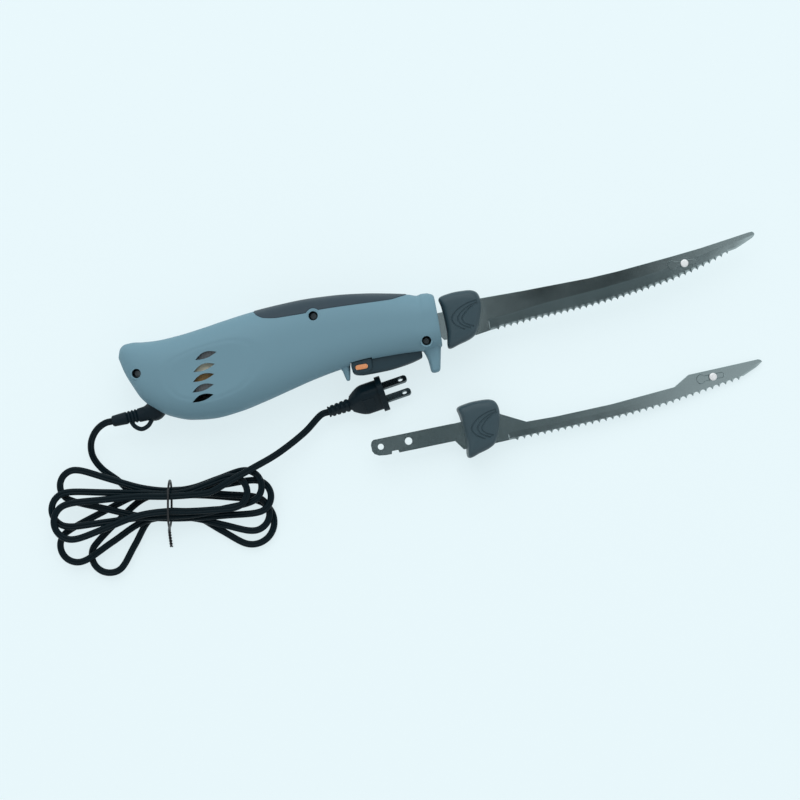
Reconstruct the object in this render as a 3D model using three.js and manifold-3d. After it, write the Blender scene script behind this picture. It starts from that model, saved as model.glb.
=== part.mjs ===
// Electric fillet knife lying on its side, with its spare blade set and its mains lead in a hank.
// Millimetres. In the knife's own frame X runs forward to the blade tip from the nose face, Y to the spine
// and Z across the handle. The finished model stands on Z = 0 with its origin under the middle of the object.
import * as THREE from 'three';
import { mergeVertices } from 'three/addons/utils/BufferGeometryUtils.js';
import Module from 'manifold-3d';

const wasm = await Module();
wasm.setup();

// Clearances
const GAP = 0.3;
const PRESS = 0.15;

// Handle: across the flats, walls, section roundness, and hand-picked stations [x, spine, belly, half width]
const FLAT_HALF = 22;
const WALL = 2.4;
const GRIP_THICK = 2;
const SECTION_POWER = 2.6;
const SECTION_SIDES = 20;
const STATIONS = [
  [-213.5, 14.5, 11.5, 3], [-211.5, 19.3, 3, 8], [-208, 21.4, -6, 12], [-203, 21.7, -16.5, 15.5],
  [-196, 20.8, -24, 18.5], [-186, 20.2, -31, 21.5], [-172, 21, -36, 23.6], [-156, 23, -37.6, 24.5],
  [-140, 25.5, -36, 24], [-122, 27.9, -32.2, 22], [-104, 29.3, -27.6, 20], [-86, 30, -23.2, 19],
  [-66, 29.2, -19.6, 19], [-46, 27, -17.6, 19.6], [-30, 24.2, -17.4, 20.6], [-16, 21.2, -17.8, 21.8],
  [-9, 20.2, -18, 22.3], [-3, 19.6, -17.6, 22], [0, 18, -16.5, 20.8],
];
const FRONT_WALL = 3;
const FINGER_GUARD_HALF = 11;
const FINGER_STOP_HALF = 6;

// Case screws and their bosses
const SCREWS = { rear: [-202.3, 0.6], middle: [-80.8, 17.8], front: [-10, -11.4] };
const SCREW_SHANK_R = 1.5;
const SCREW_HEAD_R = 2.8;
const SCREW_HEAD_HEIGHT = 2.2;
const SCREW_LENGTH = 16;
const SCREW_SEAT_Z = 6;
const BOSS_WALL = 0.8;

// Vents: leaf shaped slots
const VENT_CENTRES = [[-154.6, 3.8], [-157.1, -3.8], [-158.6, -10.2], [-160.1, -16.9], [-161.3, -23.4]];
const VENT_LENGTH = 15;
const VENT_HEIGHT = 4.6;
const VENT_ANGLE = THREE.MathUtils.degToRad(11);

// Trigger group
const TRIGGER_HALF = 7.5;
const TRIGGER_LOBE_HALF = 9.5;
const TRIGGER_FRONT = -14;
const TRIGGER_REAR = -61.8;
const TRIGGER_TRAVEL = 4.3;
const TRIGGER_SWING = 1.2;
const TRIGGER_PIVOT = [-18.5, -13.5];
const LOBE_TOP = -16.6;
const TRIGGER_PIN_R = 1.5;
const TRIGGER_PIN_HALF = 11;
const LOCK_CENTRE = [-55.2, -20.8];
const LOCK_LENGTH = 8.4;
const LOCK_HEIGHT = 3.2;
const LOCK_PROUD = 0.8;
const LOCK_TRAVEL = 3;
const SPRING_X = -36;
const SPRING_R = 2.6;
const SPRING_WIRE_R = 0.4;
const SPRING_CURLS = 4;
const SPRING_FOOT_Y = -22;
const SWITCH_SIZE = [20, 10.2, 6.2];
const SWITCH_CENTRE = [-44, 1.1, 9.8];
const PLUNGER_R = 1.2;
const PLUNGER_OUT = 3;
const PLUNGER_LENGTH = 6;

// Motor, on an axis along X
const MOTOR_Y = -6;
const SHAFT_R = 2.5;
const SHAFT_REAR = -197.3;
const CORE_X = [-172, -142];
const CORE_HALF_Y = 16;
const CORE_HALF_Z = 16.5;
const CORE_CHAMFER = 3;
const AIR_GAP = 0.8;
const ARMATURE_R = 11;
const ARMATURE_SLOTS = 8;
const SLOT_DEPTH = 4;
const SLOT_WIDTH = 2.6;
const END_TURN = 4;
const END_TURN_R = 8.6;
const COIL_BAND = 3.5;
const COIL_Y = [9.5, 14];
const COMMUTATOR_X = [-189, -180];
const COMMUTATOR_R = 6.5;
const FAN_X = [-136.5, -128.5];
const FAN_R = 16.5;
const FAN_BLADES = 7;
const BEARING_R = 6;
const REAR_BEARING_X = [-197, -192.5];
const FRONT_BEARING_X = [-125, -120.5];
const BRUSH_SIZE = [4.4, 4];

// Worm and crank gear
const GEAR_MODULE = 1.2;
const GEAR_TEETH = 20;
const WORM_STARTS = 2;
const WORM_PITCH_R = 4.5;
const WORM_LENGTH = 18;
const GEAR_X = -103;
const GEAR_HALF = 3;
const TOOTH_SHARE = 0.42;
const PRESSURE_TAN = 0.364;
const AXLE_R = 2;
const STROKE = 2.5;
const ECCENTRIC_R = 5.5;
const CARRIER_THICK = 2.8;
const YOKE_RIM = 3;
const YOKE_RIM_Y = 2.2;
const FRAME_PLATE = 2.2;

// Blades: two thin blades side by side, each with its half of the plastic blade guard
const BLADE_THICK = 1;
const BLADE_SPACE = 0.3;
const TANG_HALF = 5.9;
const TANG_END = -58.6;
const BLADE_REACH = 217.9;
const SPARE_REACH = 211.8;
const SOCKET_FRONT = -28;
const GUARD_HALF = 11;
const TOOTH_PITCH = 4.3;
const SPARE_TOOTH_PITCH = 4.7;
const TOOTH_DEPTH = 1.1;
const RIVET_R = 1.3;
const RIVET_HEAD_R = 2.6;
const RIVET_HEAD_HEIGHT = 0.75;
const RIVET_SLOT = 6.2;
const SPARE_PLACE = [0.1, -74.4];
const SPARE_TURN = THREE.MathUtils.degToRad(1.6);

// Mains lead: flat twin lead, lying flat in the hank
const LEAD_WIDTH = 4.6;
const LEAD_THICK = 2.6;
const RELIEF_BASE = [-196.7, -24.3];
const RELIEF_END = [-224.3, -27.5];
const RELIEF_RIBS = 4;
const RELIEF_ROUTE = [[-197, -25.2, 0], [-204, -26.4, 0], [-214, -26.9, 0], [...RELIEF_END, 0]];
const RELIEF_ROOT_R = 5.2;
const RELIEF_TAPER = 1.5;
const RELIEF_GROOVE = 0.7;
const LOOP_ROUTE = [[-214, -27.5, 0], [-211, -33.6, 0], [-206.9, -36, 0], [-202.4, -34.6, 0],
  [-199.5, -31.4, 0], [-196.5, -27.5, 0]];
const LOOP_R = 1.2;
const HANK_CENTRE = [-198.3, -88.8];
const HANK_ANGLE = THREE.MathUtils.degToRad(-10);
// Loops of the hank, right and left in turn: length, direction of the axis and radius of the far end
const HANK_LOOPS = [[71, -13, 15], [66, -40, 12], [67, -7, 11.5], [80, -24, 11.5], [68, 5, 11], [75, 11, 10.5],
  [63, 13, 11], [79, -3, 11.5], [53, 11, 10.5], [78, -10, 12]];
// Shares of a loop's run before its far end: length, width, turn of the axis and lift
const HANK_RUN = [[0.3, 0.18, 0.4, 0.35], [0.66, 0.64, 0.85, 0]];
// Half width at the tie before each loop and after the last one
const HANK_WAISTS = [5.5, 5, 7.5, 8.5, 9, 9.5, 9, 8, 7, 4.5, 5.5];
// Ends of the hank beyond the tie: length and rise, furthest first
const HANK_OVERRUN = [[28, 3], [20, 1.5]];
const HANK_LAYER = 3.4;
const TIE_R = 0.8;
const TIE_SLACK = 2.5;
const TIE_TAIL = 16;
const PLUG_FACE = [-43.2, -40.2];
const PLUG_ANGLE = THREE.MathUtils.degToRad(9);
const PLUG_ROLL = THREE.MathUtils.degToRad(45);
const PLUG_FLANGE = [25, 16, 4];
const PLUG_CORNER = 6;
const PLUG_BODY = 20;
const PLUG_SLEEVE = 15;
const PIN_SPACING = 12.7;
const PIN_SIZE = [17, 6.35, 1.5];
const PIN_HOLE_R = 1.6;
const PIN_ROOT = 5;
const WIRE_R = 1;

// Finishes
const finish = (color, roughness, metalness = 0) => () =>
  new THREE.MeshStandardMaterial({ color, roughness, metalness });
const SLATE = finish(0x6f8b98, 0.45);
const SOFT_BLACK = finish(0x3a464f, 0.7);
const BLACK = finish(0x23282b, 0.5);
const COPPER_ORANGE = finish(0xd99a6c, 0.4);
const CHARCOAL = finish(0x3c484f, 0.45);
const STEEL = finish(0xb8bcbd, 0.25, 1);
const DARK_STEEL = finish(0x6a7172, 0.35, 1);
const COPPER = finish(0xb87333, 0.35, 1);
const BRASS = finish(0xc9a24b, 0.35, 1);
const BRONZE = finish(0x9c7a4a, 0.5, 1);
const NYLON = finish(0xe6e2d6, 0.6);
const CARBON = finish(0x2b2b2d, 0.8);

// Solids from three.js geometries
function solid(geometry) {
  const bare = geometry.clone();
  bare.deleteAttribute('normal');
  bare.deleteAttribute('uv');
  const merged = mergeVertices(bare, 1e-4);
  const vertProperties = Float32Array.from(merged.attributes.position.array);
  const triVerts = Uint32Array.from(merged.index.array);
  return new wasm.Manifold(new wasm.Mesh({ numProp: 3, vertProperties, triVerts }));
}

function geometryOf(manifold) {
  const mesh = manifold.getMesh();
  const geometry = new THREE.BufferGeometry();
  geometry.setAttribute('position', new THREE.BufferAttribute(Float32Array.from(mesh.vertProperties), 3));
  geometry.setIndex(Array.from(mesh.triVerts));
  geometry.computeVertexNormals();
  return geometry;
}

function box([x0, x1], [y0, y1], [z0, z1]) {
  const geometry = new THREE.BoxGeometry(x1 - x0, y1 - y0, z1 - z0);
  return solid(geometry.translate((x0 + x1) / 2, (y0 + y1) / 2, (z0 + z1) / 2));
}

// A round bar along one axis from low to high, centred at the other two coordinates
function bar(axis, radius, [low, high], [a, b], sides = 12) {
  const geometry = new THREE.CylinderGeometry(radius, radius, high - low, sides);
  const middle = (low + high) / 2;
  if (axis === 'x') return solid(geometry.rotateZ(-Math.PI / 2).translate(middle, a, b));
  if (axis === 'y') return solid(geometry.translate(a, middle, b));
  return solid(geometry.rotateX(Math.PI / 2).translate(a, b, middle));
}

function prism(points, [z0, z1]) {
  const shape = new THREE.Shape(points.map(([x, y]) => new THREE.Vector2(x, y)));
  return solid(new THREE.ExtrudeGeometry(shape, { depth: z1 - z0, bevelEnabled: false }).translate(0, 0, z0));
}

// A closed body through rings of equal count, with fan ends
function loft(rings) {
  const count = rings[0].length;
  const centre = (ring) => ring.reduce((sum, p) => sum.add(p), new THREE.Vector3()).divideScalar(count);
  const vertices = [...rings.flat(), centre(rings[0]), centre(rings.at(-1))];
  const triangles = [];
  for (let r = 0; r + 1 < rings.length; r += 1) {
    for (let i = 0; i < count; i += 1) {
      const j = (i + 1) % count;
      const [a, b] = [r * count + i, r * count + j];
      triangles.push([a, b, b + count], [a, b + count, a + count]);
    }
  }
  const last = (rings.length - 1) * count;
  for (let i = 0; i < count; i += 1) {
    const j = (i + 1) % count;
    triangles.push([vertices.length - 2, j, i], [vertices.length - 1, last + i, last + j]);
  }
  const volume = triangles.reduce(
    (sum, [a, b, c]) => sum + vertices[a].dot(vertices[b].clone().cross(vertices[c])), 0);
  const facing = volume > 0 ? triangles : triangles.map(([a, b, c]) => [a, c, b]);
  const geometry = new THREE.BufferGeometry();
  geometry.setAttribute('position', new THREE.Float32BufferAttribute(vertices.flatMap((p) => p.toArray()), 3));
  geometry.setIndex(facing.flat());
  return geometry;
}

// A section carried along points, its first coordinate level and its second upright
function sweep(points, sectionAt) {
  const up = new THREE.Vector3(0, 0, 1);
  const rings = points.map((p, i) => {
    const ahead = points[Math.min(i + 1, points.length - 1)];
    const tangent = ahead.clone().sub(points[Math.max(i - 1, 0)]).normalize();
    const side = up.clone().cross(tangent).normalize();
    const rise = tangent.clone().cross(side);
    return sectionAt(i / (points.length - 1)).map(
      ([a, b]) => p.clone().addScaledVector(side, a).addScaledVector(rise, b));
  });
  return loft(rings);
}

const circle = (radius, sides) => Array.from({ length: sides }, (_, i) => {
  const angle = (2 * Math.PI * (i + 0.5)) / sides;
  return [radius * Math.cos(angle), radius * Math.sin(angle)];
});
const vector = ([x, y, z]) => new THREE.Vector3(x, y, z);
const curve = (points, steps) => new THREE.CatmullRomCurve3(points.map(vector), false, 'centripetal')
  .getSpacedPoints(Math.round(steps));

// Handle surface: the outline at any x, drawn in by an offset
function outlineAt(x) {
  const inside = Math.min(Math.max(x, STATIONS[0][0]), STATIONS.at(-1)[0]);
  const next = Math.max(1, STATIONS.findIndex((s) => s[0] >= inside));
  const [a, b] = [STATIONS[next - 1], STATIONS[next]];
  const share = (inside - a[0]) / (b[0] - a[0]);
  return [1, 2, 3].map((k) => a[k] + share * (b[k] - a[k]));
}

function insetAt(x, inset, spineInset = inset) {
  const near = [x - inset, x, x + inset].map(outlineAt);
  const top = Math.min(...near.map((o) => o[0])) - spineInset;
  const belly = Math.max(...near.map((o) => o[1])) + inset;
  const half = Math.min(...near.map((o) => o[2])) - inset;
  return { middle: (top + belly) / 2, rise: (top - belly) / 2, half };
}

function handleBody(inset, [from, to], spineInset = inset) {
  const xs = [from, ...STATIONS.map((s) => s[0]).filter((x) => x > from && x < to), to];
  const shaped = (v) => Math.sign(v) * Math.abs(v) ** (2 / SECTION_POWER);
  const rings = xs.map((x) => {
    const { middle, rise, half } = insetAt(x, inset, spineInset);
    return Array.from({ length: SECTION_SIDES }, (_, i) => {
      const angle = (2 * Math.PI * i) / SECTION_SIDES;
      return new THREE.Vector3(x, middle + rise * shaped(Math.cos(angle)), half * shaped(Math.sin(angle)));
    });
  });
  const flat = FLAT_HALF - inset;
  return solid(loft(rings)).intersect(box([from - 1, to + 1], [-60, 60], [-flat, flat]));
}

const REAR = STATIONS[0][0];
const NOSE = STATIONS.at(-1)[0];
const TALL = [-60, 60];
const WIDE = [-40, 40];

// Finger guard below the nose and small finger stop behind the trigger
function fingerGuard() {
  const outline = [[0, -12], [-0.8, -15.2], [-4.2, -32.4], [-5.5, -33], [-9.5, -32], [-10.4, -29.8],
    [-10.4, -25], [-11.4, -20], [-13.2, -16], [-13.2, -12]];
  return prism(outline, [-FINGER_GUARD_HALF, FINGER_GUARD_HALF]);
}

function fingerStop() {
  const outline = [[-68.5, -17.2], [-67.5, -21], [-66.3, -28.2], [-65, -28.4], [-63.4, -21.5], [-63, -17.2]];
  return prism(outline, [-FINGER_STOP_HALF, FINGER_STOP_HALF]);
}

// Spine grip: a soft skin over the spine, its lower edge drawn as a leaf
function gripRegion(grow) {
  const edge = [[-119.9, 27.8], [-117.6, 24.5], [-112.8, 21.8], [-103.4, 20.4], [-84.4, 20.2], [-75.4, 20.9],
    [-52, 20.3], [-28.9, 19.5], [-22, 20.4], [-17.3, 21.5]];
  const low = edge.map(([x, y]) => [x, y - grow]);
  const outline = [[edge[0][0] - grow, 45], ...low, [edge.at(-1)[0] + grow, 45]];
  const boss = bar('z', SCREW_HEAD_R + BOSS_WALL + GAP + 1 - grow, WIDE, SCREWS.middle, 14);
  return prism(outline, WIDE).subtract(boss);
}

const gripCore = (inset) => handleBody(inset, [REAR + 3, NOSE - 3]);
const outer = handleBody(0, [REAR, NOSE]);
const spineGrip = outer.intersect(gripRegion(0)).subtract(gripCore(GRIP_THICK));

// Screw bosses: a column through both halves, with a counterbored seat on the left half
function screwColumn([x, y], radius) {
  return bar('z', radius, [-FLAT_HALF, FLAT_HALF], [x, y]).intersect(outer);
}

function screwCut([x, y]) {
  const hole = bar('z', SCREW_SHANK_R + GAP, [SCREW_SEAT_Z - SCREW_LENGTH - 1, FLAT_HALF], [x, y]);
  return hole.add(bar('z', SCREW_HEAD_R + GAP, [SCREW_SEAT_Z, FLAT_HALF + 5], [x, y]));
}

function caseScrew([x, y]) {
  const shank = bar('z', SCREW_SHANK_R, [SCREW_SEAT_Z + GAP - SCREW_LENGTH, SCREW_SEAT_Z + GAP + 0.5], [x, y]);
  const headZ = [SCREW_SEAT_Z + GAP, SCREW_SEAT_Z + GAP + SCREW_HEAD_HEIGHT];
  const head = bar('z', SCREW_HEAD_R, headZ, [x, y]);
  const slot = 0.7;
  const cross = box([x - 2, x + 2], [y - slot / 2, y + slot / 2], [headZ[1] - 0.9, headZ[1] + 1])
    .add(box([x - slot / 2, x + slot / 2], [y - 2, y + 2], [headZ[1] - 0.9, headZ[1] + 1]));
  return shank.add(head).subtract(cross);
}

// Leaf shaped vent slot: two arcs between two points
function vent([x, y]) {
  const arc = (side) => Array.from({ length: 5 }, (_, i) => {
    const share = i / 5;
    const along = (share - 0.5) * VENT_LENGTH * side;
    return [along, side * (VENT_HEIGHT / 2) * Math.sin(Math.PI * share)];
  });
  const [c, s] = [Math.cos(VENT_ANGLE), Math.sin(VENT_ANGLE)];
  const turned = [...arc(-1), ...arc(1)].map(([a, b]) => [x + a * c - b * s, y + a * s + b * c]);
  return prism(turned, WIDE);
}

// A rib across the handle with a window for what it carries
function bulkhead([x0, x1], window) {
  return outer.intersect(box([x0, x1], TALL, WIDE)).subtract(window);
}

// Gear frame sizes, shared by the frame, its ribs and the carriers
const WORM_LEAD = WORM_STARTS * Math.PI * GEAR_MODULE;
const GEAR_PITCH_R = (GEAR_MODULE * GEAR_TEETH) / 2;
const GEAR_Y = MOTOR_Y + WORM_PITCH_R + GEAR_PITCH_R;
const CARRIER_Z = [GEAR_HALF + GAP + 0.1, GEAR_HALF + GAP + 0.1 + CARRIER_THICK];
const PLATE_Z = [CARRIER_Z[1] + 0.4, CARRIER_Z[1] + 0.4 + FRAME_PLATE];
const WINDOW_HALF_X = ECCENTRIC_R + 2 * STROKE + GAP;
const WINDOW_HALF_Y = ECCENTRIC_R + STROKE + GAP;
const YOKE_HALF_X = WINDOW_HALF_X + YOKE_RIM;
const YOKE_HALF_Y = WINDOW_HALF_Y + YOKE_RIM_Y;
const YOKE_REACH = YOKE_HALF_X + STROKE + GAP;
const FRAME_X = [FRONT_BEARING_X[0] + 0.5, GEAR_X + YOKE_REACH];
const FRAME_WALL_X = [FRAME_X[0], FRAME_X[0] + 3];
const FRAME_Y = [MOTOR_Y - BEARING_R - 1, GEAR_Y + YOKE_HALF_Y];
const RAIL_Y = TANG_HALF + GAP + 1.8;
const RAIL_X = [-60, -30];
const RAIL_THICK = 2;
const bothSides = (make) => make(1).add(make(-1));
const across = ([z0, z1], side) => (side > 0 ? [z0, z1] : [-z1, -z0]);

function gearFrame() {
  const wall = box(FRAME_WALL_X, FRAME_Y, [-PLATE_Z[1], PLATE_Z[1]]);
  const plate = (side) => box(FRAME_X, FRAME_Y, across(PLATE_Z, side));
  const armX = [FRAME_X[1] - 1, RAIL_X[1]];
  const upperY = [RAIL_Y + 0.4, RAIL_Y + 0.4 + RAIL_THICK];
  const lowerY = [-upperY[1], -upperY[0]];
  const upperArm = (side) => box(armX, upperY, across(PLATE_Z, side));
  const upperRail = box(RAIL_X, upperY, [-PLATE_Z[1], PLATE_Z[1]]);
  const lowerRail = box(RAIL_X, lowerY, [-PLATE_Z[1], CARRIER_Z[1]]);
  const lowerArm = box(armX, lowerY, across(PLATE_Z, -1));
  const bearingBore = bar('x', BEARING_R + PRESS, [FRAME_X[0] - 1, FRAME_WALL_X[1] + 1], [MOTOR_Y, 0]);
  const axleBore = bar('z', AXLE_R + PRESS, WIDE, [GEAR_X, GEAR_Y]);
  return wall.add(bothSides(plate)).add(bothSides(upperArm)).add(upperRail).add(lowerRail).add(lowerArm)
    .subtract(bearingBore).subtract(axleBore);
}

function gearAxle() {
  return bar('z', AXLE_R, [-PLATE_Z[1] + 0.2, PLATE_Z[1] - 0.2], [GEAR_X, GEAR_Y]);
}

// Crank gear: twisted teeth in step with the worm, and an eccentric on each face, half a turn apart
function crankGear() {
  const pitch = Math.PI * GEAR_MODULE;
  const [tipR, rootR] = [GEAR_PITCH_R + 0.9 * GEAR_MODULE, GEAR_PITCH_R - 1.15 * GEAR_MODULE];
  const halfAt = (r) => (TOOTH_SHARE * pitch) / 2 - PRESSURE_TAN * (r - GEAR_PITCH_R);
  const [tipHalf, rootHalf] = [halfAt(tipR) / tipR, halfAt(rootR) / rootR];
  const leadTan = WORM_LEAD / (2 * Math.PI * WORM_PITCH_R);
  const ring = (z) => Array.from({ length: GEAR_TEETH }, (_, k) => {
    const middle = -Math.PI / 2 + ((k + 0.5) * 2 * Math.PI) / GEAR_TEETH + (z * leadTan) / GEAR_PITCH_R;
    return [[rootR, -rootHalf], [tipR, -tipHalf], [tipR, tipHalf], [rootR, rootHalf]].map(([r, turn]) =>
      new THREE.Vector3(GEAR_X + r * Math.cos(middle + turn), GEAR_Y + r * Math.sin(middle + turn), z));
  }).flat();
  const wheel = solid(loft([-GEAR_HALF, 0, GEAR_HALF].map(ring)));
  const eccentric = (side) => bar('z', ECCENTRIC_R, across([GEAR_HALF - 0.5, CARRIER_Z[1]], side),
    [GEAR_X, GEAR_Y + side * STROKE], 20);
  return wheel.add(bothSides(eccentric)).subtract(bar('z', AXLE_R + PRESS, WIDE, [GEAR_X, GEAR_Y]));
}

// Motor shaft with the worm cut on its front end
function motorShaft() {
  const pitch = Math.PI * GEAR_MODULE;
  const [tipR, rootR] = [WORM_PITCH_R + 0.85 * GEAR_MODULE, WORM_PITCH_R - 1.15 * GEAR_MODULE];
  const halfAt = (r) => (TOOTH_SHARE * pitch) / 2 - PRESSURE_TAN * (r - WORM_PITCH_R);
  const turnOf = (axial) => (axial / pitch) * ((2 * Math.PI) / WORM_STARTS);
  const [tipTurn, rootTurn] = [turnOf(halfAt(tipR)), turnOf(halfAt(rootR))];
  const startTurn = (2 * Math.PI) / WORM_STARTS;
  const corners = [[tipR, -tipTurn], [tipR, 0], [tipR, tipTurn], [rootR, rootTurn],
    [rootR, startTurn / 2], [rootR, startTurn - rootTurn]];
  const steps = Math.ceil((WORM_LENGTH / WORM_LEAD) * 10);
  const rings = Array.from({ length: steps + 1 }, (_, i) => {
    const along = (i / steps - 0.5) * WORM_LENGTH;
    const twist = (2 * Math.PI * along) / WORM_LEAD;
    return Array.from({ length: WORM_STARTS }, (__, s) => corners.map(([r, turn]) => {
      const angle = twist + turn + s * startTurn;
      return new THREE.Vector3(GEAR_X + along, MOTOR_Y + r * Math.cos(angle), r * Math.sin(angle));
    })).flat();
  });
  const front = GEAR_X + WORM_LENGTH / 2 + 2;
  return solid(loft(rings)).add(bar('x', SHAFT_R, [SHAFT_REAR, front], [MOTOR_Y, 0], 12));
}

// Rings and cylinders round the motor axis
function sleeve(outerR, innerR, x, sides = 20) {
  return bar('x', outerR, x, [MOTOR_Y, 0], sides)
    .subtract(bar('x', innerR, [x[0] - 1, x[1] + 1], [MOTOR_Y, 0], 12));
}

function slotBars(depth, width, x) {
  const one = box(x, [ARMATURE_R - depth, ARMATURE_R + 1], [-width / 2, width / 2]);
  const bars = Array.from({ length: ARMATURE_SLOTS }, (_, i) =>
    one.rotate([(360 * i) / ARMATURE_SLOTS, 0, 0]).translate([0, MOTOR_Y, 0]));
  return bars.reduce((all, next) => all.add(next));
}

function armatureCore() {
  const cut = slotBars(SLOT_DEPTH, SLOT_WIDTH, [CORE_X[0] - 1, CORE_X[1] + 1]);
  return sleeve(ARMATURE_R, SHAFT_R + PRESS, CORE_X, 30).subtract(cut);
}

function armatureWinding() {
  const endX = [[CORE_X[0] - END_TURN, CORE_X[0] - GAP], [CORE_X[1] + GAP, CORE_X[1] + END_TURN]];
  const bars = slotBars(SLOT_DEPTH - GAP, SLOT_WIDTH - 2 * GAP, [endX[0][0] + 1, endX[1][1] - 1])
    .intersect(bar('x', END_TURN_R + 0.4, [endX[0][0], endX[1][1]], [MOTOR_Y, 0], 24));
  return bars.add(sleeve(END_TURN_R, SHAFT_R + 1.5, endX[0])).add(sleeve(END_TURN_R, SHAFT_R + 1.5, endX[1]));
}

function coolingFan() {
  const hub = sleeve(6, SHAFT_R + PRESS, FAN_X);
  const disc = sleeve(FAN_R, SHAFT_R + PRESS, [FAN_X[0], FAN_X[0] + 1.4], 24);
  const blade = box([FAN_X[0] + 0.5, FAN_X[1]], [4.5, FAN_R - 0.5], [-0.6, 0.6]);
  const blades = Array.from({ length: FAN_BLADES }, (_, i) =>
    blade.rotate([(360 * i) / FAN_BLADES, 0, 0]).translate([0, MOTOR_Y, 0]));
  return blades.reduce((all, next) => all.add(next), hub.add(disc))
    .subtract(bar('x', SHAFT_R + PRESS, [FAN_X[0] - 1, FAN_X[1] + 1], [MOTOR_Y, 0], 12));
}

function coreBlock(grow, x) {
  const [y, z, c] = [CORE_HALF_Y + grow, CORE_HALF_Z + grow, CORE_CHAMFER];
  const outline = [[y - c, -z], [y, c - z], [y, z - c], [y - c, z], [c - y, z], [-y, z - c], [-y, c - z],
    [c - y, -z]];
  const rings = x.map((at) => outline.map(([a, b]) => new THREE.Vector3(at, MOTOR_Y + a, b)));
  return solid(loft(rings));
}

// Coils round the upper and lower pole, in windows of the field core
function coilBlock(side, grow, x) {
  const poleHalf = CORE_HALF_Z - COIL_BAND - GAP - 4;
  const z = poleHalf + COIL_BAND + grow;
  const y = COIL_Y.map((v, i) => v + (i ? grow : -grow));
  const [low, high] = side > 0 ? y : [-y[1], -y[0]];
  const ring = box(x, [MOTOR_Y + low, MOTOR_Y + high], [-z, z]);
  const inside = box([x[0] + COIL_BAND, x[1] - COIL_BAND], TALL, [grow - poleHalf, poleHalf - grow]);
  return ring.subtract(inside);
}

const COIL_X = [CORE_X[0] - COIL_BAND - GAP, CORE_X[1] + COIL_BAND + GAP];

function fieldCore() {
  const bore = bar('x', ARMATURE_R + AIR_GAP, [CORE_X[0] - 1, CORE_X[1] + 1], [MOTOR_Y, 0], 30);
  const windows = bothSides((side) => coilBlock(side, GAP, [COIL_X[0] - 4, COIL_X[1] + 4]));
  return coreBlock(0, CORE_X).subtract(bore).subtract(windows);
}

// Rear bearing bracket and the brush gear beside the commutator
const BRACKET_Y = [MOTOR_Y - BEARING_R - 2, MOTOR_Y + BEARING_R + 4];
const BRACKET_HALF_Z = BEARING_R + 4;
const BRACKET_X = [REAR_BEARING_X[0] + 0.5, REAR_BEARING_X[1] - 0.5];
const BRUSH_X = (COMMUTATOR_X[0] + COMMUTATOR_X[1]) / 2;
const HOLDER_WALL = 1.2;
const BRUSH_Z = [COMMUTATOR_R + GAP, COMMUTATOR_R + GAP + 7];

function rearBracket() {
  return box(BRACKET_X, BRACKET_Y, [-BRACKET_HALF_Z, BRACKET_HALF_Z])
    .subtract(bar('x', BEARING_R + PRESS, [BRACKET_X[0] - 1, BRACKET_X[1] + 1], [MOTOR_Y, 0]));
}

function brushBox(side, grow, z) {
  const [x, y] = [BRUSH_SIZE[0] / 2 + grow, BRUSH_SIZE[1] / 2 + grow];
  return box([BRUSH_X - x, BRUSH_X + x], [MOTOR_Y - y, MOTOR_Y + y], across(z, side));
}

function brushHolder(side) {
  const z = [COMMUTATOR_R + 1.2, BRUSH_Z[1] + 1.5];
  const foot = box([BRACKET_X[1] + GAP, BRUSH_X - BRUSH_SIZE[0] / 2 - GAP],
    [MOTOR_Y - 2, MOTOR_Y + 2], across([z[0], BRACKET_HALF_Z], side));
  const room = brushBox(side, GAP, [z[0] - 1, z[1] - HOLDER_WALL]);
  return brushBox(side, HOLDER_WALL + GAP, z).add(foot).subtract(room);
}

// Blade carriers: a yoke round the eccentric, a neck and a socket that holds the blade's tang
const BLADE_Z = [BLADE_SPACE / 2, BLADE_SPACE / 2 + BLADE_THICK];
const SOCKET_FLOOR = BLADE_Z[1] + GAP;
const SOCKET_X = [TANG_END + 0.6, SOCKET_FRONT];
const LATCH_X = [-56, -36];
const LATCH_THICK = 0.6;

function carrier(side) {
  const yokeX = [GEAR_X - YOKE_HALF_X, GEAR_X + YOKE_HALF_X];
  const yoke = box(yokeX, [GEAR_Y - YOKE_HALF_Y, GEAR_Y + YOKE_HALF_Y], across(CARRIER_Z, side))
    .subtract(box([GEAR_X - WINDOW_HALF_X, GEAR_X + WINDOW_HALF_X],
      [GEAR_Y - WINDOW_HALF_Y, GEAR_Y + WINDOW_HALF_Y], WIDE));
  const neck = box([yokeX[1] - 1, SOCKET_X[0] + 1], [GEAR_Y - YOKE_HALF_Y, RAIL_Y], across(CARRIER_Z, side));
  const floor = box(SOCKET_X, [-RAIL_Y, RAIL_Y], across([SOCKET_FLOOR, CARRIER_Z[1]], side));
  const lipY = [TANG_HALF + GAP, RAIL_Y];
  const lipZ = across([BLADE_Z[0], SOCKET_FLOOR + 0.5], side);
  const lips = [lipY, [-lipY[1], -lipY[0]]].map((y) => box(SOCKET_X, y, lipZ));
  const latchSeat = box([LATCH_X[0] - GAP, LATCH_X[1] + GAP], [-2.5 - GAP, 2.5 + GAP],
    across([CARRIER_Z[1] - LATCH_THICK - 2 * GAP, CARRIER_Z[1] + 1], side));
  const nubHole = bar('z', 1.5 + GAP, across([0, CARRIER_Z[1]], side), [LATCH_X[0] + 3.7, 0]);
  return yoke.add(neck).add(floor).add(lips[0]).add(lips[1]).subtract(latchSeat).subtract(nubHole);
}

// Leaf spring latch in the carrier's outer face, its nub bearing on the tang
function bladeLatch(side) {
  const z = [CARRIER_Z[1] - LATCH_THICK - GAP, CARRIER_Z[1] - GAP];
  const leaf = box(LATCH_X, [-2.5, 2.5], across(z, side));
  return leaf.add(bar('z', 1.5, across([SOCKET_FLOOR, z[1]], side), [LATCH_X[0] + 3.7, 0]));
}

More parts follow.
